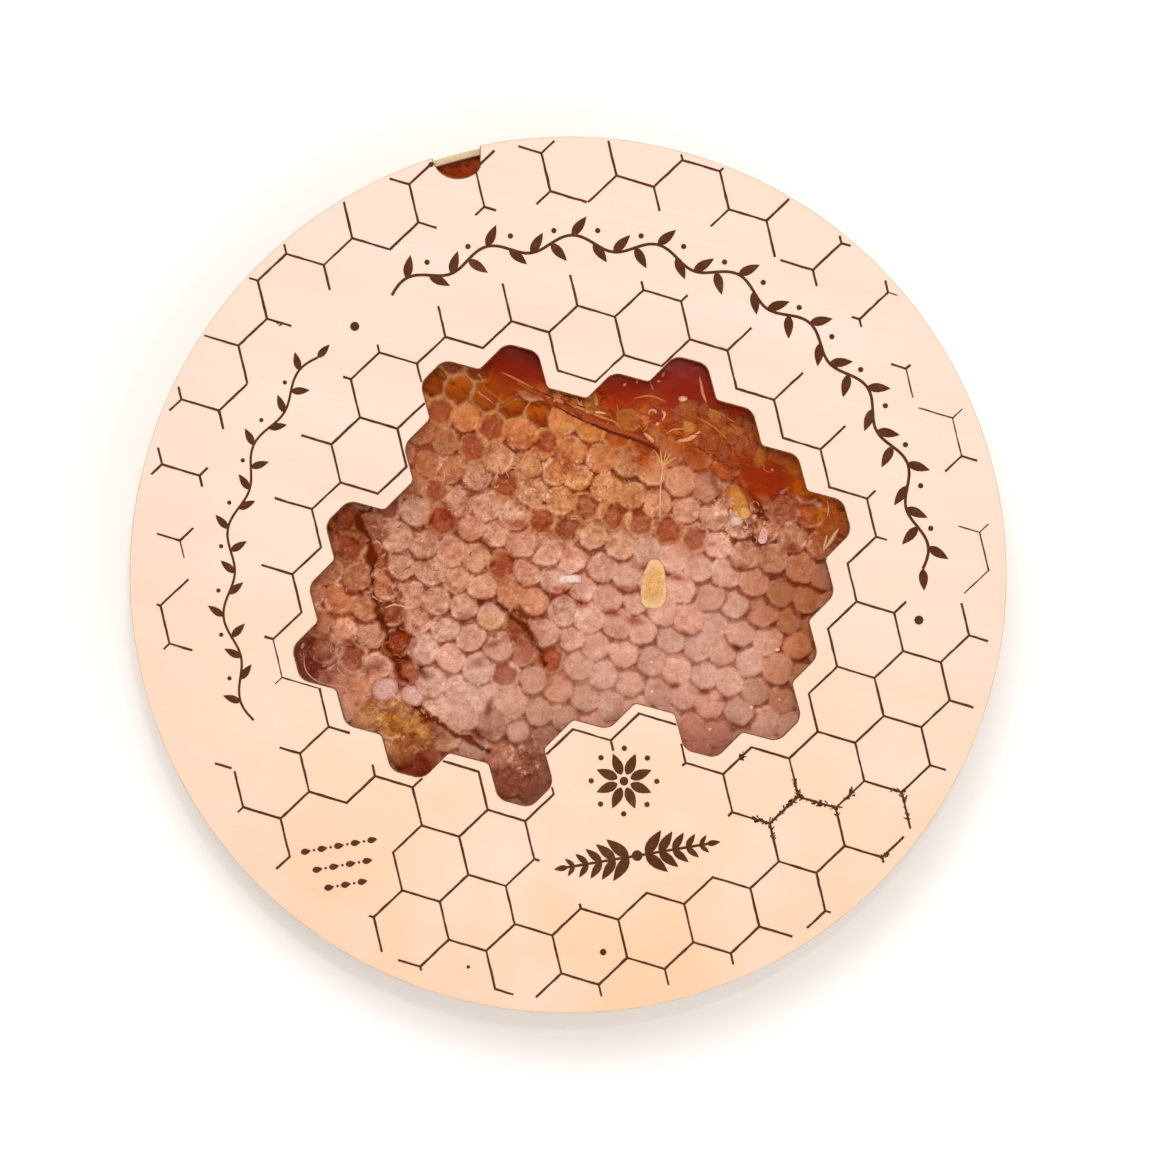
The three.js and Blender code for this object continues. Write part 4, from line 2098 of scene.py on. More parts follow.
@dataclass(frozen=True)
class Comb:
    """The cake of comb: its cells, cracks, dips and colours, and the plain cake round them."""

    bottom: float = 3.3
    top: float = 24.1
    highest: float = 24.6
    relief_floor: float = 15.0
    spacing: float = 0.29
    margin: float = 2.5
    # How far the plain cake lies below the mean of the face, and stays clear of it round and below.
    cake_drop: float = 0.2
    pocket_play: float = 0.15
    pocket_depth: float = 0.1
    # The comb fills the hoop but for one straight cut, where honey stands.
    radius: float = 72.0
    cut_turn: float = 63.0
    cut_distance: float = 32.5
    # Steps down into the bay behind the cut: how deep, and where each starts and ends.
    bay_steps: tuple[Triple, ...] = ((0.9, -6.5, -3.0), (0.95, -2.0, 1.5), (5, 2.0, 9.0))
    edge_wave: float = 0.9
    cells: CellSheet = field(
        default_factory=lambda: CellSheet(
            spots=(
                (
                    CellKind.OPEN,
                    (
                        (-25.1, 35.3), (-20.1, 33.9), (-15.2, 32.6), (-10.4, 31.2), (-5.5, 29.7),
                        (-16.4, 37.5),
                    ),
                ),
                (
                    CellKind.SUNK,
                    (
                        (-21.2, 39.6), (-41.2, 9.3), (-32.5, 11.2), (-34.9, 3.3), (-39.8, -13.9),
                        (-8.6, -9.6), (-40.2, 4.2), (0.3, 6.0), (3.3, 10.0), (12.8, 8.2),
                        (22.6, 6.0), (-11.3, -18.8),
                    ),
                ),
                (
                    CellKind.WALLED,
                    (
                        (13.8, 21.7), (-22.6, 8.6), (-23.7, 12.9), (-4.9, 8.2), (-11.3, 1.6),
                        (18.6, 8.0), (-4.0, -15.9),
                    ),
                ),
            ),
            walled=(
                Wash("top_left", -17.0, 27.0, 15, strength=0.55, squeeze=0.75, turn=-20),
                Wash("top_middle", 2.0, 19.0, 15, strength=0.25, squeeze=0.6, turn=-15),
                Wash("left", -35.0, 4.0, 10, strength=0.25),
            ),
        )
    )
    cracks: tuple[Crack, ...] = (
        Crack(((-8.8, 34.4), (-1.5, 30.6), (6.5, 27.1), (14.9, 24.0), (17.7, 21.6)), 0.3, 0.7),
        Crack(
            (
                (-38.7, 10.2), (-36.6, 5.0), (-36.0, 0.0), (-34.8, -6.0),
                (-33.2, -13.0), (-30.1, -18.8), (-25.6, -26.1), (-14.6, -32.5),
            ),
            0.4,
            2.2,
        ),
        Crack(((-13.0, -4.8), (-10.2, -6.9), (-7.7, -10.0), (-4.2, -16.4)), 0.2, 1.8),
        Crack(((33.8, 14.2), (34.8, 12.4), (35.8, 10.4)), 0.4, 1.5),
        Crack(((-36.0, -1.0), (-33.0, -2.6), (-31.8, -5.6)), 0.25, 0.9),
    )
    dips: tuple[Dip, ...] = (
        Dip(-9.2, 38.6, 8.0, 4.2),
        Dip(-32.2, -7.2, 2.8, 1.0),
        Dip(-31.3, -12.2, 3.4, 1.4),
        Dip(-29.3, -17.2, 3.4, 1.3),
        Dip(-45.8, -15.6, 5.6, 0.9),
        Dip(-28.0, -36.4, 3.6, 0.9),
        Dip(-7.6, -37.5, 6.4, 0.7),
        Dip(-22.4, 9.6, 3.0, 0.2),
        Dip(-41.0, 7.0, 4.5, 0.25),
        Dip(48.0, 8.0, 4.5, 1.0),
        Dip(35.0, 11.4, 3.0, 0.5),
        Dip(9.5, 27.0, 6.5, 1.0),
        Dip(10.5, 33.8, 6.5, 1.8),
        Dip(34.6, 17.8, 5.4, 1.5),
    )
    # Where torn wax stands in lumps.
    lumpy: tuple[Wash, ...] = (
        Wash("bay", 24.0, 26.5, 18.0, strength=0.8, squeeze=0.35, turn=-27),
        Wash("golden_lump", -30.5, -27.8, 8.6, strength=1.2, squeeze=0.72, turn=-25),
        Wash("pale_patch", -19.0, -23.0, 6.0, strength=0.2, squeeze=0.8),
        Wash("crumbs_top", -2.0, 18.0, 20, strength=0.55, squeeze=0.6, turn=-15),
        Wash("crumbs_right", 31.0, 11.0, 9, strength=0.7),
        Wash("crumbs_left", -25.0, 8.0, 9, strength=0.5),
        Wash("left_lobe", -45.6, -15.0, 5.5, strength=1.0),
        Wash("bottom_lobe", -9.5, -33.2, 5.5, strength=0.9, squeeze=0.6, turn=-15),
        Wash("right_lobe", 48.0, 9.0, 6.5, strength=0.9),
        Wash("left_upper_lobe", -41.5, 8.5, 6.5, strength=0.7),
        Wash("mid_left", -21.0, 3.0, 9, strength=0.45),
    )
    # Where the wax is wrinkled, chewed and full of crumbs.
    crumpled: tuple[Wash, ...] = (
        Wash("upper_middle", -4.0, 14.0, 30, strength=1.0, squeeze=0.55, turn=-12),
        Wash("left", -32.0, -6.0, 20, strength=1.0),
        Wash("gold", -31.0, -26.0, 9, strength=1.0, squeeze=0.8),
        Wash("whitish", -18.0, -24.0, 9, strength=0.35, squeeze=0.8),
        Wash("middle", -6.0, -4.0, 14, strength=0.8),
        Wash("right", 36.0, 10.0, 13, strength=1.0, squeeze=0.8, turn=-30),
        Wash("right_lobe", 48.0, 9.0, 7, strength=1.0),
        Wash("bottom_lobe", -9.5, -33.0, 7, strength=1.0),
        Wash("all_over", 0.0, 0.0, 70, strength=0.36),
    )
    # Where the caps lie flat and close, with less painted shade below their lips.
    calm: tuple[Wash, ...] = (
        Wash("lower_middle", 3.0, -20.0, 14, strength=0.6, squeeze=0.6, turn=-8),
        Wash("lower_right", 24.0, -17.0, 14, strength=0.4),
    )
    # Torn hollows between caps, a little lower, whose dark colours are painted shade.
    hollows: tuple[Wash, ...] = (
        Wash("below_drop", 10.9, -2.8, 2.1, (158, 76, 50), 0.9, 0.42, -10),
        Wash("right_of_drop", 20.0, -0.4, 1.6, (152, 74, 50), 0.9, 0.4, -15),
        Wash("left_low", 8.2, -6.8, 1.6, (160, 78, 54), 0.9, 0.45, -20),
        Wash("middle_low", 12.2, -8.4, 1.8, (158, 80, 58), 0.85, 0.5, -10),
        Wash("above_drop", 14.6, 1.4, 1.6, (156, 70, 44), 0.85, 0.5, 10),
        Wash("far_right", 32.4, 1.4, 1.6, (150, 66, 44), 0.9, 0.4, 8),
        Wash("orange_pit", -0.9, -3.3, 2.4, (168, 76, 38), 0.95, 0.5, -15),
        Wash("orange_gap", 2.7, -5.3, 1.3, (160, 70, 40), 0.9, 0.6),
        Wash("gap_a", 19.7, -20.3, 1.1, (140, 72, 52), 0.9, 0.6, 10),
        Wash("gap_b", 25.0, -21.5, 1.3, (132, 64, 46), 0.95, 0.45, 5),
        Wash("gap_c", 28.3, -22.8, 0.9, (140, 72, 54), 0.8, 0.7),
        Wash("gap_d", 21.5, -10.8, 1.2, (140, 66, 44), 0.9, 0.5, -30),
        Wash("gap_e", 31.0, -13.3, 1.3, (150, 76, 52), 0.85, 0.45, -20),
        Wash("eye", 41.1, 4.9, 1.7, (140, 58, 42), 0.95, 0.6, 8),
        Wash("eye_above", 40.1, 10.6, 2.2, (152, 78, 50), 0.85, 0.7),
        Wash("oval_foot", 33.0, 9.1, 1.3, (118, 50, 28), 0.9, 0.8, -30),
        Wash("oval_right", 35.0, 12.2, 1.9, (112, 50, 28), 0.9, 0.32, -58),
        Wash("oval_left", 28.6, 14.4, 1.8, (140, 72, 44), 0.8, 0.4, -64),
        Wash("oval_top", 27.0, 16.8, 2.2, (146, 80, 44), 0.75, 0.4, -80),
        Wash("block_right", 37.3, 6.4, 1.5, (120, 58, 40), 0.85, 0.5, -10),
        Wash("block_left", 34.2, 7.0, 1.1, (128, 64, 44), 0.85, 0.6, 80),
        Wash("olive_gap", 28.0, 10.0, 1.5, (150, 88, 54), 0.8, 0.6, 20),
        Wash("pale_foot", 23.0, 15.4, 1.6, (158, 92, 60), 0.75, 0.5, -5),
        Wash("gold_edge", -32.0, -20.2, 2.2, (112, 42, 26), 0.9, 0.5, -30),
        Wash("lobe_neck", -16.2, -29.4, 2.4, (132, 54, 40), 0.85, 0.5, -25),
        Wash("whitish_edge", -14.5, -24.2, 1.8, (120, 48, 32), 0.85, 0.4, 75),
        Wash("left_gap", -40.2, -12.4, 1.1, (120, 52, 34), 0.85, 0.6, -20),
        Wash("left_pit", -35.0, -16.5, 1.8, (126, 58, 42), 0.8, 0.7, 20),
        Wash("red_between", -22.0, 11.2, 1.8, (168, 66, 34), 0.85, 0.6, -50),
        Wash("red_left", -9.6, 9.4, 2.6, (156, 62, 34), 0.8, 0.3, -10),
        Wash("top_red_left", -17.6, 25.8, 1.4, (164, 80, 54), 0.8, 0.7, 20),
        Wash("red_cell", 13.8, 21.7, 2.5, (166, 62, 18), 0.95),
        Wash("brown_edge", -28.5, 15.3, 2.2, (150, 84, 56), 0.7, 0.8, 30),
        Wash("small_pit", -16.1, -4.8, 1.3, (140, 74, 50), 0.85, 0.6, -30),
        Wash("small_gap", -19.0, -8.0, 1.3, (150, 82, 58), 0.8, 0.6, 20),
        Wash("bank_gap", -13.7, -12.6, 1.3, (130, 66, 48), 0.8, 0.5, 20),
        Wash("under_left", -16.6, -16.2, 1.6, (148, 82, 60), 0.7, 0.6, 10),
        Wash("crack_foot", -26.4, -18.2, 1.5, (110, 48, 28), 0.9, 0.6, -40),
        Wash("crack_side", -9.7, -11.2, 1.9, (144, 62, 34), 0.85, 0.6, -50),
        Wash("left_middle", -28.0, -9.6, 1.3, (146, 78, 54), 0.7, 0.5, -60),
        Wash("left_top_gap", -33.8, 7.4, 1.4, (140, 72, 44), 0.8, 0.6, 60),
        Wash("middle_pit", -26.6, 2.6, 1.4, (150, 82, 56), 0.75, 0.6, 35),
        Wash("middle_gap", -15.0, 5.6, 1.5, (150, 78, 48), 0.75, 0.5, -25),
        Wash("lobe_side_upper", -39.6, -13.6, 2.4, (132, 74, 54), 0.8),
        Wash("lobe_side_lower", -36.6, -17.6, 2.0, (146, 86, 66), 0.75, 0.7, 20),
        Wash("lump_side", -24.2, -28.6, 2.6, (120, 58, 36), 0.8, 0.7, -40),
    )
    # Where the cells are smeared over and no longer show.
    smeared: tuple[Wash, ...] = (
        Wash("bay", 28.5, 25.0, 24.0, strength=0.85, squeeze=0.3, turn=-27),
        Wash("pale_patch", -20.0, -23.5, 6.5, strength=0.9, squeeze=0.75, turn=-25),
        Wash("bottom_lobe", -8.0, -37.0, 8.0, strength=0.95),
        Wash("left_lobe", -46.0, -15.5, 6.0, strength=0.9),
        Wash("mauve_corner", 25.0, -31.0, 7.5, strength=0.75, squeeze=0.7),
        Wash("golden_lump", -30.5, -28.0, 8.8, strength=0.95, squeeze=0.72, turn=-25),
        Wash("left_top", -26.0, 22.0, 6.0, strength=0.5),
    )
    # Colours of the caps, in the order in which they are laid.
    washes: tuple[Wash, ...] = (
        Wash("lower_middle", -1.5, -22.0, 9, (188, 132, 107), 0.85),
        Wash("lower_right", 10.0, -18.0, 9, (203, 150, 128), 0.5),
        Wash("middle_left", -20.0, 2.0, 10, (204, 144, 108), 0.8),
        Wash("golden_crown", 0.0, 24.0, 19, (198, 124, 68), 0.97, 0.6, -20),
        Wash("tan_middle", 5.0, 14.0, 16, (194, 126, 76), 0.9, 0.6),
        Wash("golden_left_top", -20.0, 31.0, 12, (190, 118, 64), 0.95, 0.85, -15),
        Wash("tan_left_top", -22.6, 30.2, 3.4, (200, 138, 86), 0.75),
        Wash("left_shoulder", -26.5, 21.5, 9, (178, 104, 60), 0.95),
        Wash("left_slab", -40.5, -3.0, 12, (186, 115, 74), 0.97, 1.3),
        Wash("left_upper_lobe", -41.5, 9.5, 7.0, (130, 54, 18), 1.0),
        Wash("left_lobe", -46.8, -15.6, 7.0, (118, 44, 24), 1.0),
        Wash("left_slab_low", -38.5, -19.0, 6, (196, 134, 108), 0.75),
        Wash("left_slab_mid", -40.0, -11.5, 4.5, (216, 156, 126), 0.85),
        Wash("golden_lump", -30.5, -28.0, 9.6, (178, 114, 50), 1.0, 0.72, -25),
        Wash("under_lump", -28.2, -35.8, 5.6, (134, 38, 6), 1.0, 0.8),
        Wash("pale_patch", -19.0, -23.5, 7.6, (205, 158, 137), 0.95, 0.8, -25),
        Wash("olive_cap", -22.1, 23.4, 2.6, (160, 104, 68), 0.8),
        Wash("red_cap", -8.2, 24.0, 2.4, (174, 96, 58), 0.8),
        Wash("red_cap_right", -0.3, 21.0, 2.6, (172, 90, 56), 0.8),
        Wash("brown_cap", -11.5, 15.5, 2.5, (176, 108, 60), 0.8),
        Wash("orange_cap", -2.7, 17.9, 2.2, (180, 106, 60), 0.75),
        Wash("bottom_lobe", -8.5, -37.0, 8.6, (138, 74, 50), 1.0),
        Wash("bottom_lobe_top", -11.5, -29.5, 5.4, (164, 106, 80), 0.8),
        Wash("mauve_corner", 25.0, -30.5, 9.5, (178, 115, 94), 1.0, 0.8),
        Wash("right_edge", 45.5, -10.0, 8.5, (180, 110, 68), 1.0, 1.6, 5),
        Wash("low_right_edge", 38.6, -21.5, 5.6, (174, 114, 82), 0.85),
        Wash("right_top_caps", 40.0, 3.0, 9.0, (174, 108, 72), 0.85),
        Wash("right_caps", 40.5, -5.0, 6.0, (166, 96, 60), 0.8),
        Wash("right_lobe", 48.5, 8.0, 6.0, (168, 96, 58), 1.0),
        Wash("right_shoulder", 45.0, 13.5, 5.5, (168, 82, 24), 1.0),
        Wash("crack_bank", -31.4, -12.0, 3.1, (138, 58, 24), 1.0, 3.2, 18),
        Wash("middle_crack_bank", -6.8, -12.5, 3.4, (156, 78, 42), 0.9, 2.0, 30),
        Wash("yellow_spot", -14.6, -9.0, 1.9, (196, 146, 88), 0.7, 0.7, 20),
        Wash("red_patch", -11.5, 0.6, 4.2, (158, 78, 44), 0.8),
        Wash("dark_middle", -8.5, -4.5, 5.0, (188, 120, 80), 0.8),
        Wash("warm_left", -22.6, 9.0, 4.6, (152, 80, 54), 0.85),
        Wash("red_row", -5.0, 8.0, 4.0, (170, 88, 46), 0.7, 0.6),
        Wash("orange_row", 20.0, 6.5, 5.0, (180, 104, 60), 0.7, 0.5, -15),
        Wash("ridge_bank", 8.0, 29.5, 12.0, (206, 124, 52), 0.95, 0.42, -24),
        Wash("open_cells", -15.5, 33.6, 13.5, (176, 98, 46), 0.9, 0.34, -17),
        Wash("wet_comb", 27.5, 21.8, 25.0, (164, 76, 26), 1.0, 0.24, -27),
        Wash("dark_corner", 37.6, 16.4, 6.5, (136, 46, 10), 1.0, 0.6, -40),
        Wash("bay_edge", 34.0, 10.5, 9.0, (188, 124, 88), 0.6, 0.5, -27),
    )
    cap: Colour = (206, 155, 133)
    wall: Colour = (200, 144, 92)
    # Factors that darken the caps as painted shade: below their lips, in the seams between them and in deep
    # recesses.
    lip_shade_tint: Triple = (0.46, 0.19, 0.12)
    seam_shade_tint: Triple = (0.66, 0.46, 0.38)
    recess_shade_tint: Triple = (0.66, 0.36, 0.2)
    # What gloss adds to each colour.
    gloss: float = 0.012
    # How bright a white face looks down in the window.
    light: float = 0.9
    # What hollow cells look like: colour of the floor, its strength, and how pale the wall's top is.
    floors: tuple[tuple[CellKind, Colour, float, float], ...] = (
        (CellKind.SUNK, (142, 66, 38), 0.75, 0.12),
        (CellKind.WALLED, (154, 68, 38), 0.85, 0.12),
        (CellKind.OPEN, (176, 98, 46), 1.0, 0.5),
    )
    # Painted shade in the lower part of an open cell, and between which offsets from its middle it fades out.
    shaded_cell_foot: Colour = (126, 50, 18)
    foot_shade_edge: Point = (-1.6, 1.8)
    # Pale band just inside the caps' rims where the wax is crumpled: painted highlight that also stands for
    # torn, ragged wax.
    frayed_lit_rim: Colour = (240, 204, 176)
    # How far a cap takes its colour from the field at its middle, not from that at each point.
    cell_share: float = 0.6
    # Cells differ in light, by a least value and a range, and in warmth, by channel.
    cell_light: Point = (0.88, 0.22)
    cell_warmth: Triple = (0.04, -0.09, -0.15)
    # How far a smear evens the cells out.
    evened: float = 0.7
    # Strengths of the painted shade in the seams and below the lips, and of the painted highlight on the
    # rims.
    seam_shade_strength: float = 0.42
    lip_strength: float = 0.92
    fray_and_highlight_strength: float = 0.45
    # Depths below the face's mean between which the comb darkens: painted shade in its recesses.
    recess_shade_depths: Point = (1.15, 2.6)
    # How much lumps differ in tone, lighter where they stand higher and darker where lower as painted light
    # and shade, and how much each channel does.
    lump_light_and_shade: float = 0.85
    mottle_tone: Triple = (0.75, 1.15, 1.35)

    def bay(self, x: Array, y: Array) -> Array:
        """Tells how far points lie past the comb's straight cut, in millimetres."""
        normal = towards(self.cut_turn)
        return x * normal.x + y * normal.y - self.cut_distance + ripples(x, y, (4.6, 21, 1.6), (1.8, 22, 0.8))

    def outline(self, clearance: float) -> Array:
        """Gives the cake's wavy outline.

        Args:
            clearance: How far outside the cake it runs.

        Returns:
            Its points in order.
        """
        angle = np.linspace(0, 2 * np.pi, 96, endpoint=False)
        facing = np.cos(angle - math.radians(self.cut_turn))
        to_cut = np.where(facing > 0, self.cut_distance / np.maximum(facing, 1e-6), self.radius)
        wave = self.edge_wave * (np.sin(7 * angle) + np.sin(17 * angle) / 2)
        reach = np.minimum(self.radius, to_cut) + wave + clearance
        return np.stack([np.cos(angle) * reach, np.sin(angle) * reach], axis=1)

    def lump(self, x: Array, y: Array) -> Array:
        """Gives the lumps of torn wax, from -1 to 1."""
        return ripples(x, y, (1.9, 31, 0.45), (0.95, 32, 0.35), (0.55, 33, 0.2))

    def crack_ways(self, x: Array, y: Array) -> list[tuple[Crack, Array]]:
        """Gives each crack with the distances of points from it."""
        return [(crack, crack.away(x, y, 40 + 5 * number)) for number, crack in enumerate(self.cracks)]

    def heights(self, x: Array, y: Array, relief: Relief) -> Array:
        """Works out the level of the comb's face.

        Args:
            x: Places along X.
            y: Places along Y.
            relief: The cells' relief there.

        Returns:
            Levels in millimetres.
        """
        smear = greatest(self.smeared, x, y)
        level = relief.level * (1 - 0.75 * smear) - 0.1 * smear
        level += ripples(x, y, (1.5, 5, 0.12), (0.7, 6, 0.1)) * (0.4 + greatest(self.crumpled, x, y))
        level += greatest(self.lumpy, x, y) * (self.lump(x, y) * 0.45 - 0.05)
        level -= 0.4 * greatest(self.hollows, x, y)
        for dip in self.dips:
            level -= dip.drop(x, y)
        for crack, away in self.crack_ways(x, y):
            level -= crack.depth * (1 - smooth(crack.half_width * 0.5, crack.half_width * 1.9, away))
        past = self.bay(x, y)
        level -= sum(drop * smooth(first, last, past) for drop, first, last in self.bay_steps)
        return np.minimum(self.top + level + Ripple(17, 3).at(x, y) * 0.2, self.highest)

    def caps_tint(self, x: Array, y: Array, owner: tuple[Array, Array], smear: Array) -> Array:
        """Works out the colours of the bare caps.

        Args:
            x: Places along X.
            y: Places along Y.
            owner: The cell that shows at each place.
            smear: How smeared the comb is there, as a column.

        Returns:
            Linear colours, one row for each point.
        """
        table = self.cells.tables
        at_x = blended(x, table["x"][owner], self.cell_share)
        at_y = blended(y, table["y"][owner], self.cell_share)
        ground = washed(np.tile(linear(self.cap), (len(x), 1)), self.washes, at_x, at_y)
        # The hollows' dark colours are painted shade.
        ground = washed(ground, self.hollows, x, y)
        least, span = self.cell_light
        light = (least + span * table["light"][owner])[:, None]
        warmth = (table["warmth"][owner] - 0.5)[:, None]
        varied = light * (1 + warmth * np.array(self.cell_warmth))
        return ground * blended(varied, 1, smear * self.evened)

    def cells_tint(self, y: Array, relief: Relief, ground: Array) -> Array:
        """Paints the floors and walls of the hollow cells over the ground, with painted shade in the lower
        part of open cells.

        Args:
            y: Places along Y.
            relief: The cells' relief there.
            ground: Colours of the bare caps.

        Returns:
            Linear colours, one row for each point.
        """
        table, owner = self.cells.tables, relief.owner
        colour, wall = ground, np.clip(relief.wall, 0, 1)[:, None]
        for kind, floor, strength, pale in self.floors:
            chosen = ((relief.wall >= 0) & (table["kind"][owner] == kind.value))[:, None]
            rim = blended(ground, linear(self.wall), pale)
            inner = blended(ground, linear(floor), strength)
            # The lower part of an open cell gets painted shade.
            if kind is CellKind.OPEN:
                upper = smooth(*self.foot_shade_edge, y - table["y"][owner])[:, None]
                inner = blended(linear(self.shaded_cell_foot), inner, upper)
            colour = np.where(chosen, blended(inner, rim, wall), colour)
        return colour

    def tints(self, x: Array, y: Array, relief: Relief, level: Array) -> Array:
        """Works out the colours of the comb's face.

        Args:
            x: Places along X.
            y: Places along Y.
            relief: The cells' relief there.
            level: The face's levels.

        Returns:
            Linear colours, one row for each point.
        """
        smear = greatest(self.smeared, x, y)[:, None]
        ground = self.caps_tint(x, y, relief.owner, smear)
        colour = self.cells_tint(y, relief, ground)
        # Painted shade in the seams between caps and below their lips.
        seam = (relief.seam * self.seam_shade_strength)[:, None] * (1 - smear * self.evened)
        colour = blended(colour, colour * np.array(self.seam_shade_tint), seam)
        shown = relief.lip_shade * self.lip_strength * (1 - greatest(self.calm, x, y))
        shade = shown[:, None] * (1 - smear * 0.8)
        colour = blended(colour, ground * np.array(self.lip_shade_tint), shade)
        # Painted shade in deep recesses, weaker in open cells.
        is_open = (relief.wall >= 0) & (self.cells.tables["kind"][relief.owner] == CellKind.OPEN.value)
        depth = (smooth(*self.recess_shade_depths, self.top - level) * (1 - 0.75 * is_open))[:, None]
        colour = blended(colour, colour * np.array(self.recess_shade_tint), depth)
        # Painted highlight just inside the rims of crumpled caps, also standing for torn, ragged wax.
        rough = greatest(self.crumpled, x, y)
        frayed_and_lit = np.exp(-(((relief.rim + 0.4) / 0.22) ** 2)) * smooth(-0.2, 0.5, Ripple(1.4, 64).at(x, y))
        frayed_and_lit = (frayed_and_lit * rough * (relief.wall < 0) * self.fray_and_highlight_strength)[:, None]
        colour = blended(colour, linear(self.frayed_lit_rim), frayed_and_lit)
        broad, fine = 0.05 + 0.1 * rough, 0.05 + 0.26 * rough
        mottle = ripples(x, y, (1.9, 61, broad), (0.8, 62, fine), (0.5, 63, 0.18 * rough))
        # Lumps are painted lighter where they stand higher and darker where lower: painted light and shade.
        crumbs = greatest(self.lumpy, x, y) * self.lump(x, y) * self.lump_light_and_shade
        return self.painted(colour * (1 + (mottle + crumbs)[:, None] * np.array(self.mottle_tone)))

    def painted(self, colour: Array) -> Array:
        """Turns colours as they look in the window into wax's paint."""
        return as_paint(colour, self.gloss, self.light)

    def level_at(self, x: Array, y: Array) -> Array:
        """Gives the level on which a loose bit lies: the comb's, or the honey's where that is higher."""
        return np.maximum(self.heights(x, y, self.cells.relief(x, y)), HONEY.level)

    def face_grid(self, spacing: float, margin: float) -> Mesh:
        """Makes a level grid of the window's shape, with a colour layer named tint.

        Args:
            spacing: Distance between its points.
            margin: How far it reaches under the lid.

        Returns:
            The grid, at level 0.
        """
        outline = WINDOW.outline(-margin)
        low, high = outline.min(0), outline.max(0)
        size = high - low
        mesh = bmesh.new()
        place = Matrix.Translation((*((low + high) / 2), 0)) @ Matrix.Diagonal((size[0], size[1], 1, 1))
        across, up = (int(count) for count in np.ceil(size / spacing))
        bmesh.ops.create_grid(mesh, x_segments=across, y_segments=up, size=0.5, matrix=place)
        mesh.verts.layers.float_color.new(TINT)
        verts = list(mesh.verts)
        at = np.array([vert.co.xy for vert in verts])
        kept = inside(outline, at[:, 0], at[:, 1])
        bmesh.ops.delete(mesh, geom=[vert for vert, keep in zip(verts, kept) if not keep], context="VERTS")
        drop_strays(mesh)
        return mesh

    def build_face(self, wax: Material) -> Piece:
        """Builds the comb that shows in the window, closed below.

        Args:
            wax: Material of wax.

        Returns:
            The comb.
        """
        mesh = self.face_grid(self.spacing, self.margin)
        x, y = np.array([vert.co.xy for vert in mesh.verts]).T
        relief = self.cells.relief(x, y)
        level = self.heights(x, y, relief)
        rough = np.clip(greatest(self.crumpled, x, y), 0, 1)
        lay(mesh, level, self.tints(x, y, relief, level), rough)
        rim = [edge for edge in mesh.edges if edge.is_boundary]
        skirt = bmesh.ops.extrude_edge_only(mesh, edges=rim)
        for vert in points_in(skirt):
            vert.co.z = self.relief_floor
        hem = [part for part in skirt["geom"] if isinstance(part, Edge) and part.is_boundary]
        bmesh.ops.triangle_fill(mesh, edges=hem, use_beauty=False, use_dissolve=False)
        bmesh.ops.recalc_face_normals(mesh, faces=mesh.faces)
        return finished(mesh, "comb_face", [wax], Shading.SMOOTH, "honeycomb")

    def build_cake(self, wax: Material) -> Piece:
        """Builds the plain cake round the comb's face, with a pocket for it.

        Args:
            wax: Material of wax.

        Returns:
            The cake.
        """
        mesh = bmesh.new()
        rim = mesh.faces.new([mesh.verts.new((x, y, self.bottom)) for x, y in self.outline(0)])
        prism(mesh, [rim], self.top - self.cake_drop - self.bottom)
        low, high = self.relief_floor - self.pocket_depth, self.top + BOARDS.overcut
        mesh = cut_away(mesh, [WINDOW.cutter(-self.margin - self.pocket_play, low, high)])
        paint_all(mesh, self.cap)
        return finished(mesh, "comb_cake", [wax], Shading.BY_ANGLE)


COMB = Comb()


# ---- The honey ----


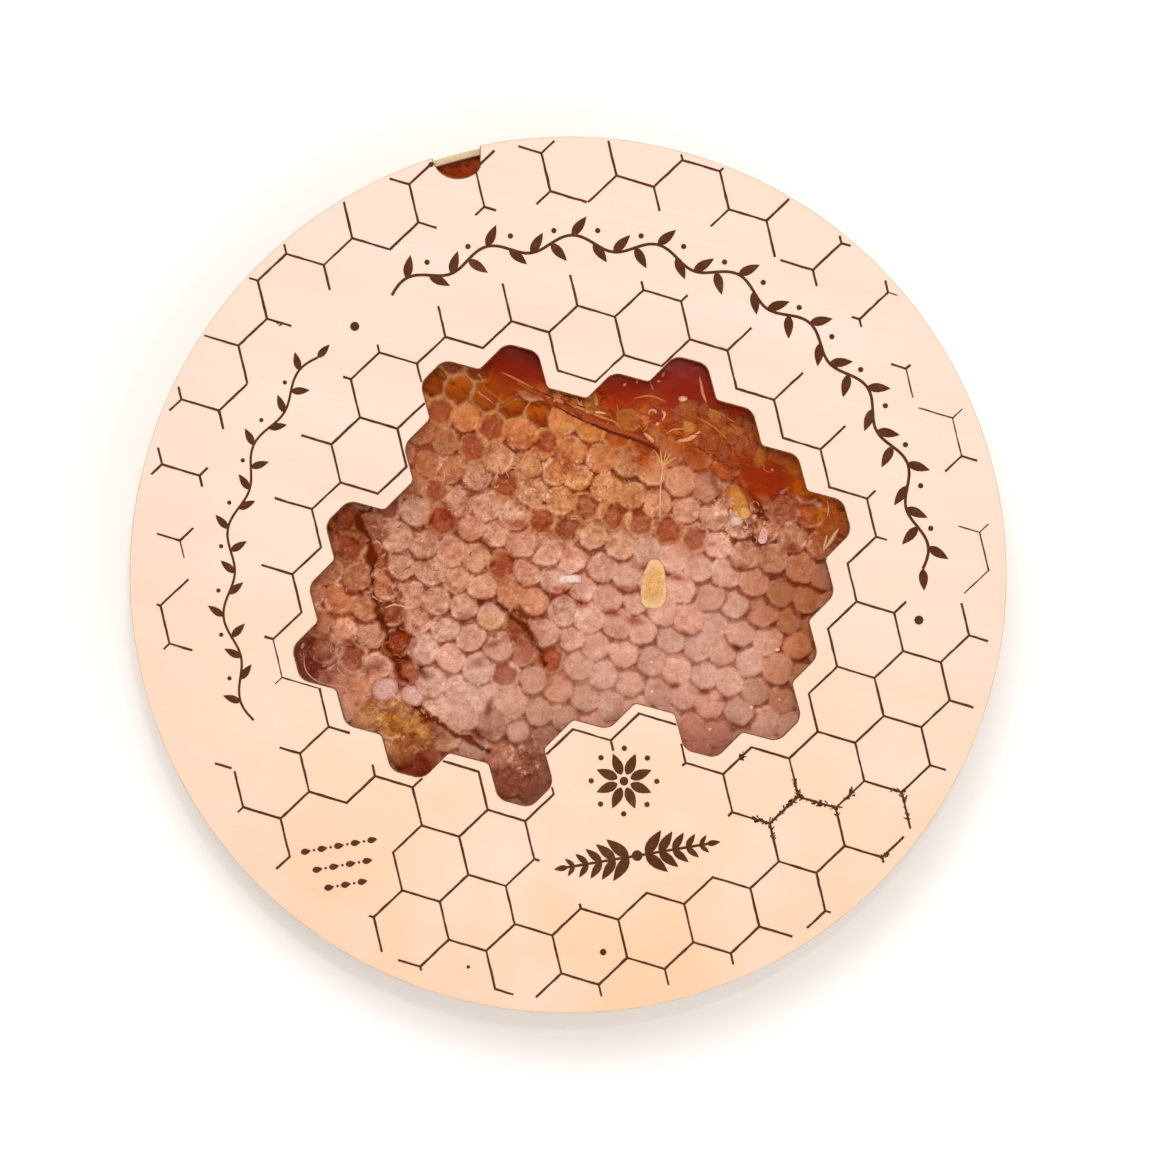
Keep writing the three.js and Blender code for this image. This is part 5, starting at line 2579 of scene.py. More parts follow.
@dataclass(frozen=True)
class Honey:
    """Honey in the comb's bay, cracks and open cells, and in the ring round the cake."""

    level: float = 22.75
    ring_level: float = 22.6
    ring_radius: float = 78.45
    spacing: float = 0.36
    # What one millimetre of honey takes of red, green and blue.
    absorbed: Triple = (0.12, 0.48, 1.1)
    deep: Colour = (128, 30, 0)
    crack_tint: Colour = (84, 26, 10)
    crack_strength: float = 0.85
    light: float = 0.9
    gloss: float = 0.005
    # How far the honey stands higher in the open cells.
    cell_lift: float = 0.3
    # How far it creeps up the comb, and the depth at which that fades.
    creep: float = 0.015
    creep_width: float = 0.45
    # How far the honey reaches in under the comb beside it.
    tuck: float = 0.9
    face_thickness: float = 0.5
    # Depth at which its streaks have faded to about a third.
    streak_depth: float = 7
    ring_colour: Colour = (180, 64, 14)
    washes: tuple[Wash, ...] = (
        Wash("golden_comb_below", 28.5, 25.5, 8.0, (158, 60, 2), 0.72, 0.6, -27),
        Wash("brown_block", 36.0, 23.5, 6.0, (152, 62, 16), 0.5, 0.7, -30),
        Wash("amber_shoulder", 45.0, 13.8, 5.5, (224, 112, 0), 0.97, 0.8, -20),
        Wash("wax_by_ridge", 9.5, 27.5, 7.0, (152, 54, 4), 0.74, 0.6, -15),
        Wash("open_cells", -15.5, 33.4, 13.5, (160, 82, 26), 0.7, 0.34, -17),
        Wash("right_lobe", 48.6, 7.8, 4.8, (166, 90, 52), 0.9),
    )
    # Where the honey is deep and plain.
    still: tuple[Wash, ...] = (
        Wash("top_lobe", -9.0, 39.4, 7.5, (128, 29, 0), 1.0, 0.9),
        Wash("left_lobe", -46.2, -15.6, 7.5, (108, 36, 22), 1.0),
        Wash("under_lump", -28.4, -35.6, 6.0, (132, 30, 2), 1.0),
        Wash("red_deep", 22.0, 34.5, 8.5, (132, 30, 0), 0.95),
        Wash("red_band", 25.0, 31.8, 9.5, (134, 32, 0), 0.9, 0.3, -25),
        Wash("right_deep", 38.0, 17.4, 6.5, (132, 42, 6), 0.9, 0.7, -38),
        Wash("right_red", 34.6, 17.8, 5.8, (142, 42, 4), 0.95, 0.7, -35),
        Wash("red_head", 11.0, 34.4, 6.5, (138, 32, 2), 0.97, 0.55, -8),
    )

    def build_face(self, honey: Material) -> Piece:
        """Builds the honey's patches that show in the window, as one piece.

        Args:
            honey: Material of honey.

        Returns:
            The patches.
        """
        mesh = COMB.face_grid(self.spacing, COMB.margin - 0.3)
        verts = list(mesh.verts)
        x, y = np.array([vert.co.xy for vert in verts]).T
        relief = COMB.cells.relief(x, y)
        comb = COMB.heights(x, y, relief)
        is_open = COMB.cells.tables["kind"][relief.nearest] == CellKind.OPEN.value
        sunk = np.sum([dip.drop(x, y) for dip in COMB.dips], axis=0)
        surface = self.level + Ripple(9, 71).at(x, y) * 0.05
        surface += self.cell_lift * is_open * (1 - smooth(0.1, 0.6, sunk))
        depth = np.clip(surface - comb, 0, None)
        below = COMB.tints(x, y, relief, np.full(x.shape, COMB.top))
        surface = surface + self.creep * np.exp(-depth / self.creep_width)
        passed = np.exp(-depth[:, None] * np.array(self.absorbed))
        tint = blended(linear(self.deep), below, passed)
        shallow = np.exp(-depth / self.streak_depth)
        for crack, away in COMB.crack_ways(x, y):
            weight = 1 - smooth(crack.half_width, crack.half_width * 3, away)
            tint += (linear(self.crack_tint) - tint) * weight[:, None] * self.crack_strength
            shallow *= 1 - weight
        for wash in self.washes + self.still:
            weight = wash.weight(x, y) * (0.55 + 0.45 * smooth(0.2, 2.0, depth))
            tint += (linear(wash.colour) - tint) * weight[:, None]
            if wash in self.still:
                shallow *= 1 - weight
        lay(mesh, surface, as_paint(tint, self.gloss, self.light), shallow)
        wet = KDTree(len(verts))
        for number in np.flatnonzero(surface > comb):
            wet.insert((x[number], y[number], 0), int(number))
        wet.balance()
        dry = [vert for vert, *at in zip(verts, x, y) if wet.find((*at, 0))[2] > self.tuck]
        bmesh.ops.delete(mesh, geom=dry, context="VERTS")
        drop_strays(mesh)
        sheet = finished(mesh, "honey_face", [honey], Shading.SMOOTH)
        return thicken(sheet, self.face_thickness)

    def build_ring(self, honey: Material) -> Piece:
        """Builds the honey between the cake and the hoop.

        Args:
            honey: Material of honey.

        Returns:
            The ring of honey.
        """
        mesh = bmesh.new()
        inner = COMB.outline(0.1)
        angles = np.arctan2(inner[:, 1], inner[:, 0])
        outer = np.stack([np.cos(angles), np.sin(angles)], axis=1) * self.ring_radius
        loops = []
        for points in (inner, outer):
            loops += ring(mesh, [mesh.verts.new((x, y, self.ring_level)) for x, y in points])
        bmesh.ops.bridge_loops(mesh, edges=loops)
        prism(mesh, list(mesh.faces), COMB.bottom - self.ring_level)
        paint_all(mesh, self.ring_colour)
        return finished(mesh, "honey_ring", [honey], Shading.BY_ANGLE, "honey")


HONEY = Honey()


# ---- Loose bits of wax ----


@dataclass(frozen=True)
class Nugget:
    """A small rounded lump of wax, by its middle and half sizes; a high power makes it squarer."""

    x: float
    y: float
    half_length: float
    half_width: float
    turn: float
    colour: Colour | None
    rim: Colour | None
    lift: float = 0.45
    power: float = 2.0
    taper: float = 0.0


@dataclass(frozen=True)
class Strand:
    """A thin strand of wax along a path."""

    path: tuple[Point, ...]
    width: float
    colour: Colour
    lift: float = 0.25

    def block(self) -> Nugget:
        """Gives a squarish lump of the strand's length, width and heading, with painted shade on its darker
        sides.

        Returns:
            The lump.
        """
        (x0, y0), (x, y), (x1, y1) = self.path
        turn = math.degrees(math.atan2(y1 - y0, x1 - x0))
        half = math.hypot(x1 - x0, y1 - y0) / 2
        # The sides are painted darker: painted shade.
        sides = tuple(int(part * 0.9) for part in self.colour)
        return Nugget(x, y, half, self.width / 2, turn, self.colour, sides, 0.1 + 0.05 * self.width, 5.0)


# Colours of shreds of torn wax in honey, and of wrinkles on dry caps.
TORN_WAX = ((188, 104, 42), (172, 84, 26), (162, 72, 18), (152, 62, 12), (144, 54, 8))
TORN_COMB = ((166, 86, 28), (158, 78, 20), (150, 68, 14), (156, 74, 24), (144, 58, 10))
WRINKLES = ((226, 180, 144), (218, 168, 130), (210, 156, 120), (146, 80, 56))


@dataclass(frozen=True)
class Shreds:
    """A field of short strands strewn at random.

    The ranges of width and length are in millimetres, the heading and its spread in degrees.
    """

    field: Wash
    count: int
    colours: tuple[Colour, ...]
    widths: Point
    lengths: Point
    heading: float
    spread: float
    # How far a strand bows out, as a rough share of its length.
    bow: float = 0.2

    def strewn(self, chance: Chance) -> list[Strand]:
        """Strews the strands.

        Args:
            chance: The chance that places them.

        Returns:
            The strands that lie in the window.
        """
        window, strands = WINDOW.outline(-0.5), []
        for _ in range(self.count):
            middle = self.field.random_place(chance)
            heading = self.heading + chance.uniform(-1, 1) * self.spread
            length = chance.uniform(*self.lengths)
            half = towards(heading, length / 2)
            bow = towards(heading + 90, chance.normal(0, self.bow) * length)
            width, colour = chance.uniform(*self.widths), self.colours[chance.integers(len(self.colours))]
            if inside(window, middle.x, middle.y):
                path = tuple(tuple(point) for point in (middle - half, middle + bow, middle + half))
                strands.append(Strand(path, width, colour, 0.12 + 0.25 * width))
        return strands


@dataclass(frozen=True)
class WaxBits:
    """Lumps, crumbs and strands that lie on the comb's face; some pale ones stand for glints and for the
    film's creases catching the light, as painted highlights.
    """

    highest: float = 24.66
    seed: int = 5
    # How finely the balls of the named lumps and of the strewn ones are divided.
    fine: int = 3
    coarse: int = 2
    strand_thickness: float = 0.2
    strand_step: float = 0.3
    # How crumpled a lump and a strand look.
    lump_grit: float = 0.6
    strand_grit: float = 0.1
    # How uneven a lump is: in outline, in height and in tone.
    ragged: float = 0.14
    bumpy: float = 0.25
    mottled: float = 0.14
    # Half lengths of the small crumbs, and their widths as shares of these.
    crumb_sizes: Point = (0.18, 0.5)
    crumb_widths: Point = (0.45, 0.9)
    nuggets: tuple[Nugget, ...] = (
        Nugget(15.7, -1.6, 4.5, 2.2, 86, (216, 166, 102), (234, 194, 146), 0.45, 3.4, 0.26),
        Nugget(31.2, 13.3, 3.6, 1.7, -64, (196, 126, 62), (170, 92, 44), 0.5, 2.6),
        Nugget(32.4, 11.4, 1.3, 1.2, -66, (218, 162, 92), (196, 126, 66), 0.55),
        Nugget(11.0, 28.4, 2.3, 2.0, -8, (158, 88, 26), (178, 108, 42), 0.3, 5.0),
        Nugget(22.0, 27.3, 1.6, 1.2, -20, (188, 118, 52), (166, 88, 34), 0.3, 3.0),
        Nugget(27.0, 29.2, 1.9, 1.0, -30, (176, 100, 40), (150, 74, 26), 0.25, 3.0),
        Nugget(31.0, 26.4, 2.2, 1.3, -24, (172, 96, 40), (146, 66, 20), 0.25, 3.0),
        Nugget(16.4, 27.7, 0.5, 0.35, 20, (216, 160, 112), (196, 130, 84), 0.35),
        Nugget(14.9, 25.2, 1.4, 0.45, -42, (206, 146, 100), (188, 122, 76), 0.3),
        Nugget(-0.2, 27.3, 1.5, 1.1, -10, (200, 148, 78), (192, 134, 72), 0.25),
        # A pale flake that stands for the glint of a lamp on the film: painted highlight.
        Nugget(0.3, -0.8, 2.1, 0.85, 2, (238, 214, 204), (222, 178, 160), 0.45, 3.6),
        Nugget(35.7, 7.2, 1.6, 0.8, 78, (218, 162, 154), (226, 184, 170), 0.45, 3.0),
        Nugget(30.7, 9.8, 1.3, 1.1, 10, (212, 182, 158), (190, 142, 116), 0.35, 3.0),
        # Small pale flakes on the honey that stand for glints: painted highlights.
        Nugget(21.1, 32.4, 0.9, 0.6, 0, (236, 176, 148), (200, 110, 70), 0.2),
        Nugget(10.4, 35.0, 0.45, 0.3, 40, (222, 140, 92), (190, 90, 50), 0.15),
        Nugget(12.6, 35.4, 0.4, 0.25, 80, (226, 150, 100), (190, 90, 50), 0.15),
        Nugget(16.6, 35.5, 0.35, 0.3, 0, (230, 160, 116), (190, 90, 50), 0.15),
        Nugget(17.5, 36.8, 0.5, 0.25, 60, (220, 140, 96), (190, 90, 50), 0.15),
        # Tiny pale dots that stand for glints: painted highlights.
        Nugget(15.3, -15.9, 0.35, 0.3, 0, (240, 206, 190), (232, 190, 170), 0.3),
        Nugget(15.3, -21.4, 0.35, 0.3, 0, (240, 206, 190), (232, 190, 170), 0.3),
        Nugget(25.9, -28.3, 0.4, 0.3, 0, (236, 200, 186), (222, 180, 160), 0.3),
        Nugget(38.3, -13.7, 0.5, 0.45, 0, (236, 190, 160), (210, 140, 100), 0.35),
        Nugget(38.7, -22.8, 0.4, 0.3, 0, (232, 180, 150), (210, 140, 100), 0.3),
        Nugget(33.5, -24.3, 0.4, 0.35, 0, (236, 196, 176), (214, 150, 120), 0.3),
        Nugget(37.4, 19.3, 0.4, 0.35, 0, (214, 130, 90), (160, 60, 24), 0.2),
        # Two pale flecks on the bottom lobe that stand for glints: painted highlights.
        Nugget(-9.0, -35.4, 0.5, 0.35, 20, (206, 150, 130), (180, 110, 90), 0.25),
        Nugget(-8.0, -36.3, 0.4, 0.3, 80, (210, 156, 136), (180, 110, 90), 0.25),
        Nugget(-33.6, -20.9, 2.5, 2.1, 10, (212, 162, 150), (184, 124, 106), 0.32, 2.6),
        Nugget(-28.5, -22.0, 2.2, 1.9, -20, (214, 166, 152), (180, 122, 104), 0.32, 2.8),
        Nugget(-9.2, -28.6, 2.3, 2.2, 20, (192, 146, 126), (160, 106, 86), 0.3, 2.8),
        Nugget(-48.8, -13.0, 0.7, 0.35, 70, (206, 140, 130), (170, 90, 76), 0.3),
        Nugget(-44.8, -16.6, 0.6, 0.3, 20, (188, 104, 84), (160, 76, 56), 0.3),
        Nugget(-46.6, -13.6, 0.5, 0.3, -40, (176, 92, 70), (150, 66, 46), 0.3),
    )
    strands: tuple[Strand, ...] = (
        # A brown flap of folded wax along the ridge; its brown stands partly for the shade on its underside:
        # painted shade.
        Strand(
            (
                (-9.4, 35.4), (-5.0, 32.9), (-1.5, 31.2), (2.6, 29.2), (6.5, 27.5), (11.0, 26.0),
                (14.9, 24.5),
            ),
            1.8,
            (160, 70, 28),
            0.3,
        ),
        Strand(
            (
                (-3.4, 31.6), (1.2, 29.0), (6.5, 26.7), (11.0, 25.2), (15.4, 23.4), (17.7, 21.0),
            ),
            0.5,
            (92, 34, 16),
        ),
        Strand(((-1.5, 32.2), (2.2, 30.6), (7.1, 28.6), (9.6, 27.9)), 0.7, (204, 132, 66), 0.35),
        Strand(((-12.2, 37.2), (-9.4, 35.9), (-6.4, 34.3)), 0.5, (206, 130, 76), 0.3),
        Strand(((24.1, 36.4), (24.5, 34.6), (24.7, 33.4), (25.4, 31.6)), 0.7, (222, 138, 96)),
        Strand(((15.0, 35.4), (15.6, 34.0)), 0.5, (206, 110, 66)),
        Strand(((-41.2, -15.6), (-42.3, -17.0), (-41.0, -18.6), (-39.4, -19.0)), 0.4, (206, 140, 124)),
        Strand(((-36.4, -3.6), (-34.6, -4.6), (-33.4, -4.9)), 0.45, (226, 176, 144)),
        Strand(((-33.6, -6.0), (-31.6, -5.4), (-29.6, -6.0)), 0.5, (222, 172, 130)),
        Strand(((5.0, 33.4), (5.1, 30.2)), 0.9, (204, 150, 76)),
        Strand(((2.6, 32.9), (2.4, 31.2), (3.1, 29.9)), 0.55, (206, 150, 84)),
        Strand(((2.9, 29.8), (5.0, 29.9), (7.3, 29.6)), 0.6, (226, 180, 110)),
        Strand(((1.6, 32.4), (2.1, 31.3), (3.0, 30.4)), 0.5, (222, 176, 108)),
        Strand(((17.0, 30.3), (17.7, 29.5), (17.3, 28.4)), 0.6, (220, 168, 134)),
        Strand(((20.2, 24.6), (22.2, 25.0), (24.3, 26.3)), 1.15, (222, 152, 108)),
        Strand(((14.7, 29.6), (15.2, 30.3), (16.1, 30.0), (16.2, 28.8)), 0.6, (212, 154, 122)),
        Strand(((18.0, 26.0), (19.6, 26.8), (21.4, 26.6)), 0.5, (204, 140, 84)),
        # A fan of pale lines and one running down from it: creases of the film catching the light, painted as
        # highlights.
        Strand(((17.3, 19.7), (16.7, 21.3), (16.0, 22.7)), 0.46, (216, 160, 94)),
        Strand(((17.3, 19.7), (17.1, 21.5), (16.9, 23.1)), 0.46, (216, 160, 94)),
        Strand(((17.3, 19.7), (17.7, 21.4), (18.0, 22.9)), 0.46, (216, 160, 94)),
        Strand(((17.3, 19.7), (18.1, 21.2), (18.9, 22.4)), 0.46, (216, 160, 94)),
        Strand(((17.3, 19.7), (18.6, 20.9), (19.9, 21.6)), 0.46, (216, 160, 94)),
        Strand(((17.3, 19.9), (16.9, 15.0), (16.8, 10.2)), 0.3, (236, 196, 168)),
        # Pale streaks on the right lobe: folds of the film catching the light, painted as highlights.
        Strand(((47.5, 13.7), (47.8, 12.3), (47.6, 10.9)), 0.36, (226, 180, 150)),
        Strand(((47.5, 7.3), (47.2, 6.0), (46.7, 4.6)), 0.55, (232, 188, 140)),
        Strand(((49.6, 8.5), (48.2, 6.2), (46.8, 4.5)), 0.85, (238, 186, 148)),
        # The film's edge catching the light on the left lobe: painted highlight.
        Strand(((-48.5, -14.4), (-48.1, -17.5), (-45.6, -19.7), (-40.9, -20.6)), 0.4, (224, 156, 146)),
        Strand(((-37.2, -22.0), (-33.0, -21.4), (-30.6, -23.2)), 0.45, (216, 170, 150)),
        Strand(((24.5, 30.8), (27.4, 29.9), (30.6, 28.0)), 0.5, (190, 118, 60)),
        Strand(((23.0, 29.2), (26.4, 27.4), (29.8, 24.4)), 0.55, (186, 110, 52)),
        Strand(((33.0, 28.2), (36.0, 25.6), (38.8, 21.6)), 0.5, (176, 96, 40)),
        Strand(((12.0, 32.4), (15.0, 32.9), (18.0, 31.8)), 0.5, (196, 120, 58)),
    )
    shreds: tuple[Shreds, ...] = (
        Shreds(
            Wash("bay", 26.5, 25.2, 13, squeeze=0.3, turn=-26),
            26, TORN_WAX, (0.3, 0.8), (1.4, 4.4), -32, 34,
        ),
        Shreds(
            Wash("bay_head", 15.5, 27.6, 6, squeeze=0.5, turn=-20),
            16, TORN_WAX, (0.4, 0.9), (1.4, 3.6), 10, 70,
        ),
        Shreds(
            Wash("ridge", 6.0, 30.4, 9, squeeze=0.22, turn=-25),
            30, TORN_WAX, (0.3, 0.8), (1.2, 4.0), -28, 25,
        ),
        Shreds(Wash("left", -24.0, 6.0, 13, squeeze=0.9), 26, WRINKLES, (0.14, 0.3), (0.7, 2.0), 0, 90),
        Shreds(
            Wash("upper", -8.0, 17.0, 16, squeeze=0.5, turn=-15),
            20, WRINKLES, (0.14, 0.3), (0.7, 2.0), 0, 90,
        ),
        Shreds(
            Wash("left_slab", -37.0, -8.0, 11, squeeze=1.1),
            12, WRINKLES, (0.14, 0.3), (0.7, 2.2), 70, 60,
        ),
        Shreds(
            Wash("right", 33.0, 8.5, 9, squeeze=0.7, turn=-30),
            14, WRINKLES, (0.14, 0.34), (0.8, 2.2), -60, 60,
        ),
        Shreds(Wash("right_lobe", 48.0, 8.0, 5.0), 9, TORN_WAX, (0.25, 0.6), (1.2, 3.4), 80, 40),
        Shreds(
            Wash("crack_bank", -31.2, -12.0, 4.6, squeeze=0.45, turn=-72),
            12, TORN_WAX, (0.2, 0.5), (0.8, 2.2), 0, 90,
        ),
    )
    # Blocks of torn comb that lie in the honey.
    blocks: tuple[Shreds, ...] = (
        Shreds(
            Wash("bay", 27.5, 26.2, 10, squeeze=0.34, turn=-20),
            34, TORN_COMB, (1.5, 3.0), (2.6, 4.6), 84, 14,
        ),
        Shreds(
            Wash("ridge", 4.0, 30.6, 8, squeeze=0.2, turn=-25),
            8, TORN_COMB, (0.8, 1.6), (1.2, 3.0), -24, 16,
        ),
    )
    # Fields of small crumbs, each mixed from the comb's own colour and the field's: place and number. The
    # field's paler colour is partly painted highlight.
    fields: tuple[tuple[Wash, int], ...] = (
        (Wash("upper_middle", 3.0, 15.0, 13, (238, 200, 156), 0.5, 0.45, -12), 150),
        (Wash("upper_left", -14.0, 20.0, 11, (238, 200, 160), 0.45, 0.7), 110),
        (Wash("left", -27.0, 5.0, 9, (238, 200, 166), 0.45), 70),
        (Wash("gold", -30.5, -27.5, 6.5, (206, 148, 66), 0.4, 0.75, -25), 150),
        (Wash("right", 30.0, 10.0, 8, (238, 200, 166), 0.5, 0.6, -25), 80),
        (Wash("oval", 31.2, 13.0, 3.4, (236, 178, 96), 0.45, 0.5, -64), 50),
        (Wash("whitish", -19.5, -23.5, 6, (240, 210, 190), 0.4, 0.8), 50),
        (Wash("left_lobe", -45.6, -15.4, 4.0, (190, 104, 80), 0.7), 36),
        (Wash("bottom_lobe", -9.0, -34.0, 3.4, (190, 120, 96), 0.6, 0.6), 24),
    )

    def add_nugget(self, mesh: Mesh, nugget: Nugget, base: float, ground: Array, fineness: int) -> None:
        """Adds one lump.

        Args:
            mesh: The mesh that gets it, with a colour layer named tint.
            nugget: The lump.
            base: The level that it lies on.
            ground: The comb's paint there, for a lump with no colour of its own.
            fineness: How finely its ball is divided.
        """
        made = bmesh.ops.create_icosphere(mesh, subdivisions=fineness, radius=1)["verts"]
        layer = mesh.verts.layers.float_color[TINT]
        ball = np.array([vert.co for vert in made])
        flat = np.hypot(ball[:, 0], ball[:, 1])
        power = nugget.power
        outline = (np.abs(ball[:, 0]) ** power + np.abs(ball[:, 1]) ** power) ** (1 / power)
        spread = flat / np.maximum(outline, 1e-6)
        along = ball[:, 0] * spread * nugget.half_length
        across = ball[:, 1] * spread * nugget.half_width * (1 - nugget.taper * ball[:, 0])
        angle = math.radians(nugget.turn)
        x = nugget.x + along * math.cos(angle) - across * math.sin(angle)
        y = nugget.y + along * math.sin(angle) + across * math.cos(angle)
        x, y = (
            ripples(x, y, (1.1, 101, self.ragged), start=x),
            ripples(x, y, (1.1, 102, self.ragged), start=y),
        )
        bumpy = 1 + self.bumpy * Ripple(0.8, 103).at(x, y)
        z = base + np.where(ball[:, 2] > 0, ball[:, 2] * nugget.lift * bumpy, ball[:, 2] * 0.5)
        edge = smooth(0.6, 0.95, flat)[:, None]
        tone = 1 + self.mottled * Ripple(0.9, 104).at(x, y)[:, None]
        if nugget.colour and nugget.rim:
            tint = COMB.painted(blended(linear(nugget.colour), linear(nugget.rim), edge) * tone)
        else:
            tint = np.clip(ground * tone, 0, 1)
        for vert, *at, colour in zip(made, x, y, np.minimum(z, self.highest), tint):
            vert.co = at
            vert[layer] = (*colour, self.lump_grit)

    def sprinkled(self, chance: Chance) -> tuple[list[Nugget], list[tuple[float, ...]]]:
        """Draws the small crumbs.

        Args:
            chance: The chance that places them.

        Returns:
            The crumbs in the window; and for each the share and colour mixed into the comb's own.
        """
        window, crumbs, mixes = WINDOW.outline(-1), [], []
        for wash, count in self.fields:
            for _ in range(count):
                middle = wash.random_place(chance)
                size, turn = chance.uniform(*self.crumb_sizes), chance.uniform(0, 180)
                width, pale = size * chance.uniform(*self.crumb_widths), chance.uniform(0, wash.strength)
                if inside(window, middle.x, middle.y):
                    crumbs.append(Nugget(middle.x, middle.y, size, width, turn, None, None, size * 0.5))
                    mixes.append((pale, *linear(wash.colour)))
        return crumbs, mixes

    def build_crumbs(self, wax: Material) -> Piece:
        """Builds the lumps and crumbs, as one piece.

        Args:
            wax: Material of wax.

        Returns:
            The lumps and crumbs.
        """
        mesh = bmesh.new()
        mesh.verts.layers.float_color.new(TINT)
        chance = np.random.default_rng(self.seed)
        blocks = [strand.block() for shreds in self.blocks for strand in shreds.strewn(chance)]
        crumbs, mixes = self.sprinkled(chance)
        bits = [(block, self.coarse) for block in blocks] + [(nugget, self.fine) for nugget in self.nuggets]
        mixes = [(0.0, 0.0, 0.0, 0.0)] * len(bits) + mixes
        bits += [(crumb, self.coarse) for crumb in crumbs]
        x, y = np.array([(bit.x, bit.y) for bit, _ in bits]).T
        relief = COMB.cells.relief(x, y)
        ground = COMB.tints(x, y, relief, np.full(x.shape, COMB.top))
        kept = np.array([bit.colour is not None for bit, _ in bits]) | (relief.wall < 0)
        share, pale = np.split(np.array(mixes), [1], axis=1)
        ground = blended(ground, COMB.painted(pale), share)
        for (bit, fineness), level, tint, keep in zip(bits, COMB.level_at(x, y), ground, kept):
            if keep:
                self.add_nugget(mesh, bit, float(level), tint, fineness)
        return finished(mesh, "wax_crumbs", [wax], Shading.SMOOTH)

    def build_strands(self, wax: Material) -> Piece:
        """Builds the strands, as one piece.

        Args:
            wax: Material of wax.

        Returns:
            The strands.
        """
        mesh = bmesh.new()
        layer = mesh.verts.layers.float_color.new(TINT)
        chance = np.random.default_rng(self.seed + 1)
        strewn = [strand for shreds in self.shreds for strand in shreds.strewn(chance)]
        for strand in (*strewn, *self.strands):
            path = rounded_path(strand.path, self.strand_step)
            count = len(path) - 1
            ways = np.gradient(path, axis=0)
            ways /= np.hypot(ways[:, 0], ways[:, 1])[:, None]
            base = COMB.level_at(path[:, 0], path[:, 1])
            base = np.convolve(np.pad(base, 2, mode="edge"), np.ones(5) / 5, mode="valid")
            made = bmesh.ops.create_grid(mesh, x_segments=count, y_segments=4, size=0.5)["verts"]
            tint = COMB.painted(linear(strand.colour))
            for vert in made:
                place = round((vert.co.x + 0.5) * count)
                side = vert.co.y * 2
                fade = math.sin(math.pi * min(max(place / count, 0.05), 0.95)) ** 0.5
                reach = side * strand.width / 2 * fade
                height = base[place] + strand.lift * (1 - side * side) * fade
                at = path[place] + reach * np.array([-ways[place, 1], ways[place, 0]])
                vert.co = (*at, min(height, self.highest))
                vert[layer] = (*tint, self.strand_grit)
        sheet = finished(mesh, "wax_strands", [wax], Shading.SMOOTH)
        return thicken(sheet, self.strand_thickness)


# ---- The film ----


@dataclass(frozen=True)
class Film:
    """The clear film under the lid, with its wrinkles."""

    radius: float = 74.6
    # Levels between which it wrinkles.
    bottom: float = 24.72
    top: float = 24.98
    # How far its wrinkles stay clear of both.
    play: float = 0.03
    spacing: float = 1.6
    thickness: float = 0.04

    def build(self, clear: Material) -> Piece:
        """Builds the film.

        Args:
            clear: Its material.

        Returns:
            The film.
        """
        mesh = bmesh.new()
        count = int(2 * self.radius / self.spacing)
        bmesh.ops.create_grid(mesh, x_segments=count, y_segments=count, size=self.radius)
        verts = list(mesh.verts)
        x, y = np.array([vert.co.xy for vert in verts]).T
        middle, half = (self.bottom + self.top) / 2, (self.top - self.bottom) / 2 - self.play
        wave = ripples(x, y, (11, 81, 0.6), (4, 82, 0.4))
        for vert, height in zip(verts, middle + wave * half):
            vert.co.z = height
        outside = [vert for vert in verts if vert.co.xy.length > self.radius]
        bmesh.ops.delete(mesh, geom=outside, context="VERTS")
        sheet = finished(mesh, "clear_film", [clear], Shading.SMOOTH, "window_film")
        return thicken(sheet, self.thickness, 0)


FILM = Film()


# ---- The studio ----


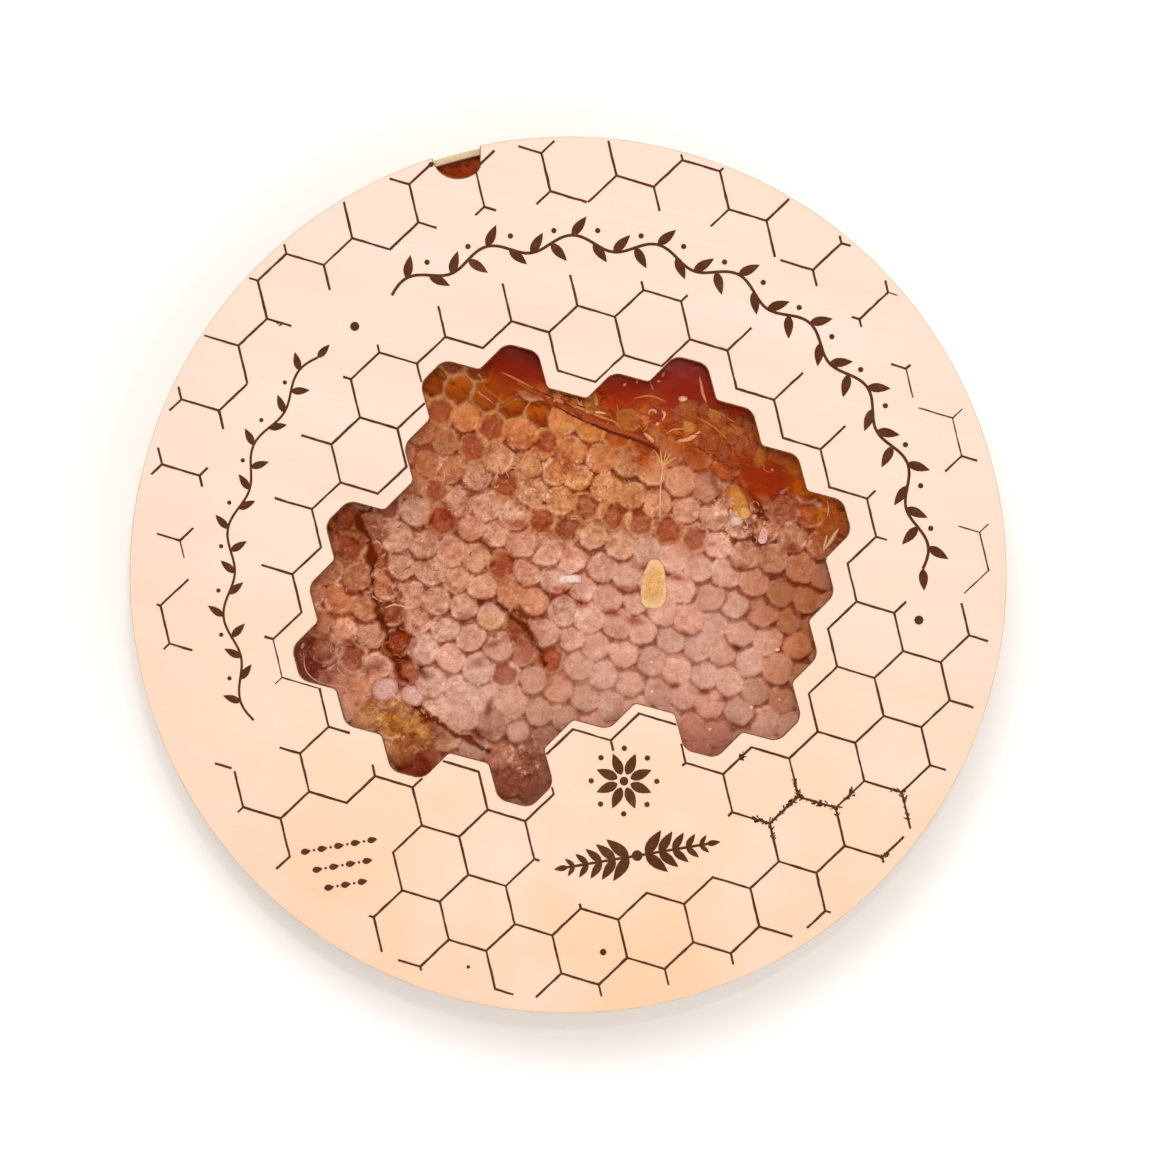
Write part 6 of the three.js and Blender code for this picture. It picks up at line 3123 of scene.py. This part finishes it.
@dataclass(frozen=True)
class Studio:
    """Floor, lights and a camera straight above."""

    frame_width: float = 0.2098
    camera_x: float = 0.00126
    distance: float = 1.0
    sensor: float = 36.0
    floor_size: float = 3.0

    def area(self, name: str, at: Point | Triple, size: float, energy: float) -> None:
        """Adds a square soft light that looks at the pack.

        Args:
            name: Its name.
            at: Its place in metres.
            size: Its side in metres.
            energy: Its power.
        """
        lamp = bpy.data.lights.new(name, "AREA")
        lamp.shape = "SQUARE"
        lamp.size = size
        lamp.energy = energy
        holder = bpy.data.objects.new(name, lamp)
        holder.location = at
        holder.rotation_euler = (-Vector(at)).to_track_quat("-Z", "Y").to_euler()
        bpy.context.scene.collection.objects.link(holder)

    def room(self) -> None:
        """Lights the room evenly from its walls, and leaves its ceiling dim."""
        world = bpy.data.worlds.new("soft_room")
        world.use_nodes = True
        nodes, links = world.node_tree.nodes, world.node_tree.links
        backdrop = nodes["Background"]
        kinds = ("TexCoord", "SeparateXYZ", "MapRange")
        where, parts, ramp = (nodes.new(f"ShaderNode{kind}") for kind in kinds)
        links.new(where.outputs["Generated"], parts.inputs["Vector"])
        links.new(parts.outputs["Z"], ramp.inputs["Value"])
        for name, value in (("From Min", 0.7), ("From Max", 0.93), ("To Min", 0.85), ("To Max", 0.05)):
            ramp.inputs[name].default_value = value
        links.new(ramp.outputs["Result"], backdrop.inputs["Strength"])
        backdrop.inputs["Color"].default_value = (1, 0.995, 0.99, 1)
        bpy.context.scene.world = world

    def build(self) -> None:
        """Builds the floor, the lights and the camera."""
        mesh = bmesh.new()
        bmesh.ops.create_grid(mesh, x_segments=8, y_segments=8, size=self.floor_size / 2)
        bmesh.ops.translate(mesh, verts=mesh.verts, vec=(0, 0, -0.0003))
        floor = loose_object(mesh, "floor")
        floor.data.materials.append(StudioFinish().make())
        self.area("key", (-0.1, 0.4, 1.2), 0.45, 6.6)
        self.area("fill", (0.45, -0.45, 1.2), 1.0, 5.0)
        self.area("flash", (0.05, 0.16, 1.3), 0.03, 1.2)
        self.room()
        scene = bpy.context.scene
        scene.view_settings.view_transform = "Standard"
        camera = bpy.data.objects.new("camera", bpy.data.cameras.new("camera"))
        camera.data.sensor_width = self.sensor
        camera.data.lens = self.sensor * self.distance / self.frame_width
        camera.location = (self.camera_x, 0, PACK.lid_top * MM + self.distance)
        scene.collection.objects.link(camera)
        scene.camera = camera


def report(piece: Piece) -> None:
    """Reports a finished piece."""
    LOG.info("%s: %d faces", piece.name, len(piece.data.polygons))


def main() -> None:
    """Builds the whole pack in order, and then the studio."""
    board, ink, veneer = BoardFinish().make(), InkFinish().make(), VeneerFinish().make()
    wax, honey = WaxFinish().make(), HoneyFinish().make()
    hoop, bits = Hoop(), WaxBits()
    report(BOARDS.build_base(board))
    report(hoop.build(veneer))
    report(hoop.build_lap(veneer))
    report(COMB.build_cake(wax))
    report(COMB.build_face(wax))
    report(HONEY.build_ring(honey))
    report(HONEY.build_face(honey))
    report(bits.build_crumbs(wax))
    report(bits.build_strands(wax))
    report(FILM.build(FilmFinish().make()))
    report(BOARDS.build_lid(board, ScorchedFinish().make()))
    report(PRINT.build_lines(ink))
    report(ORNAMENTS.build(ink))
    Studio().build()
    bpy.context.view_layer.update()


if __name__ == "__main__":
    logging.basicConfig(level=logging.INFO)
    main()
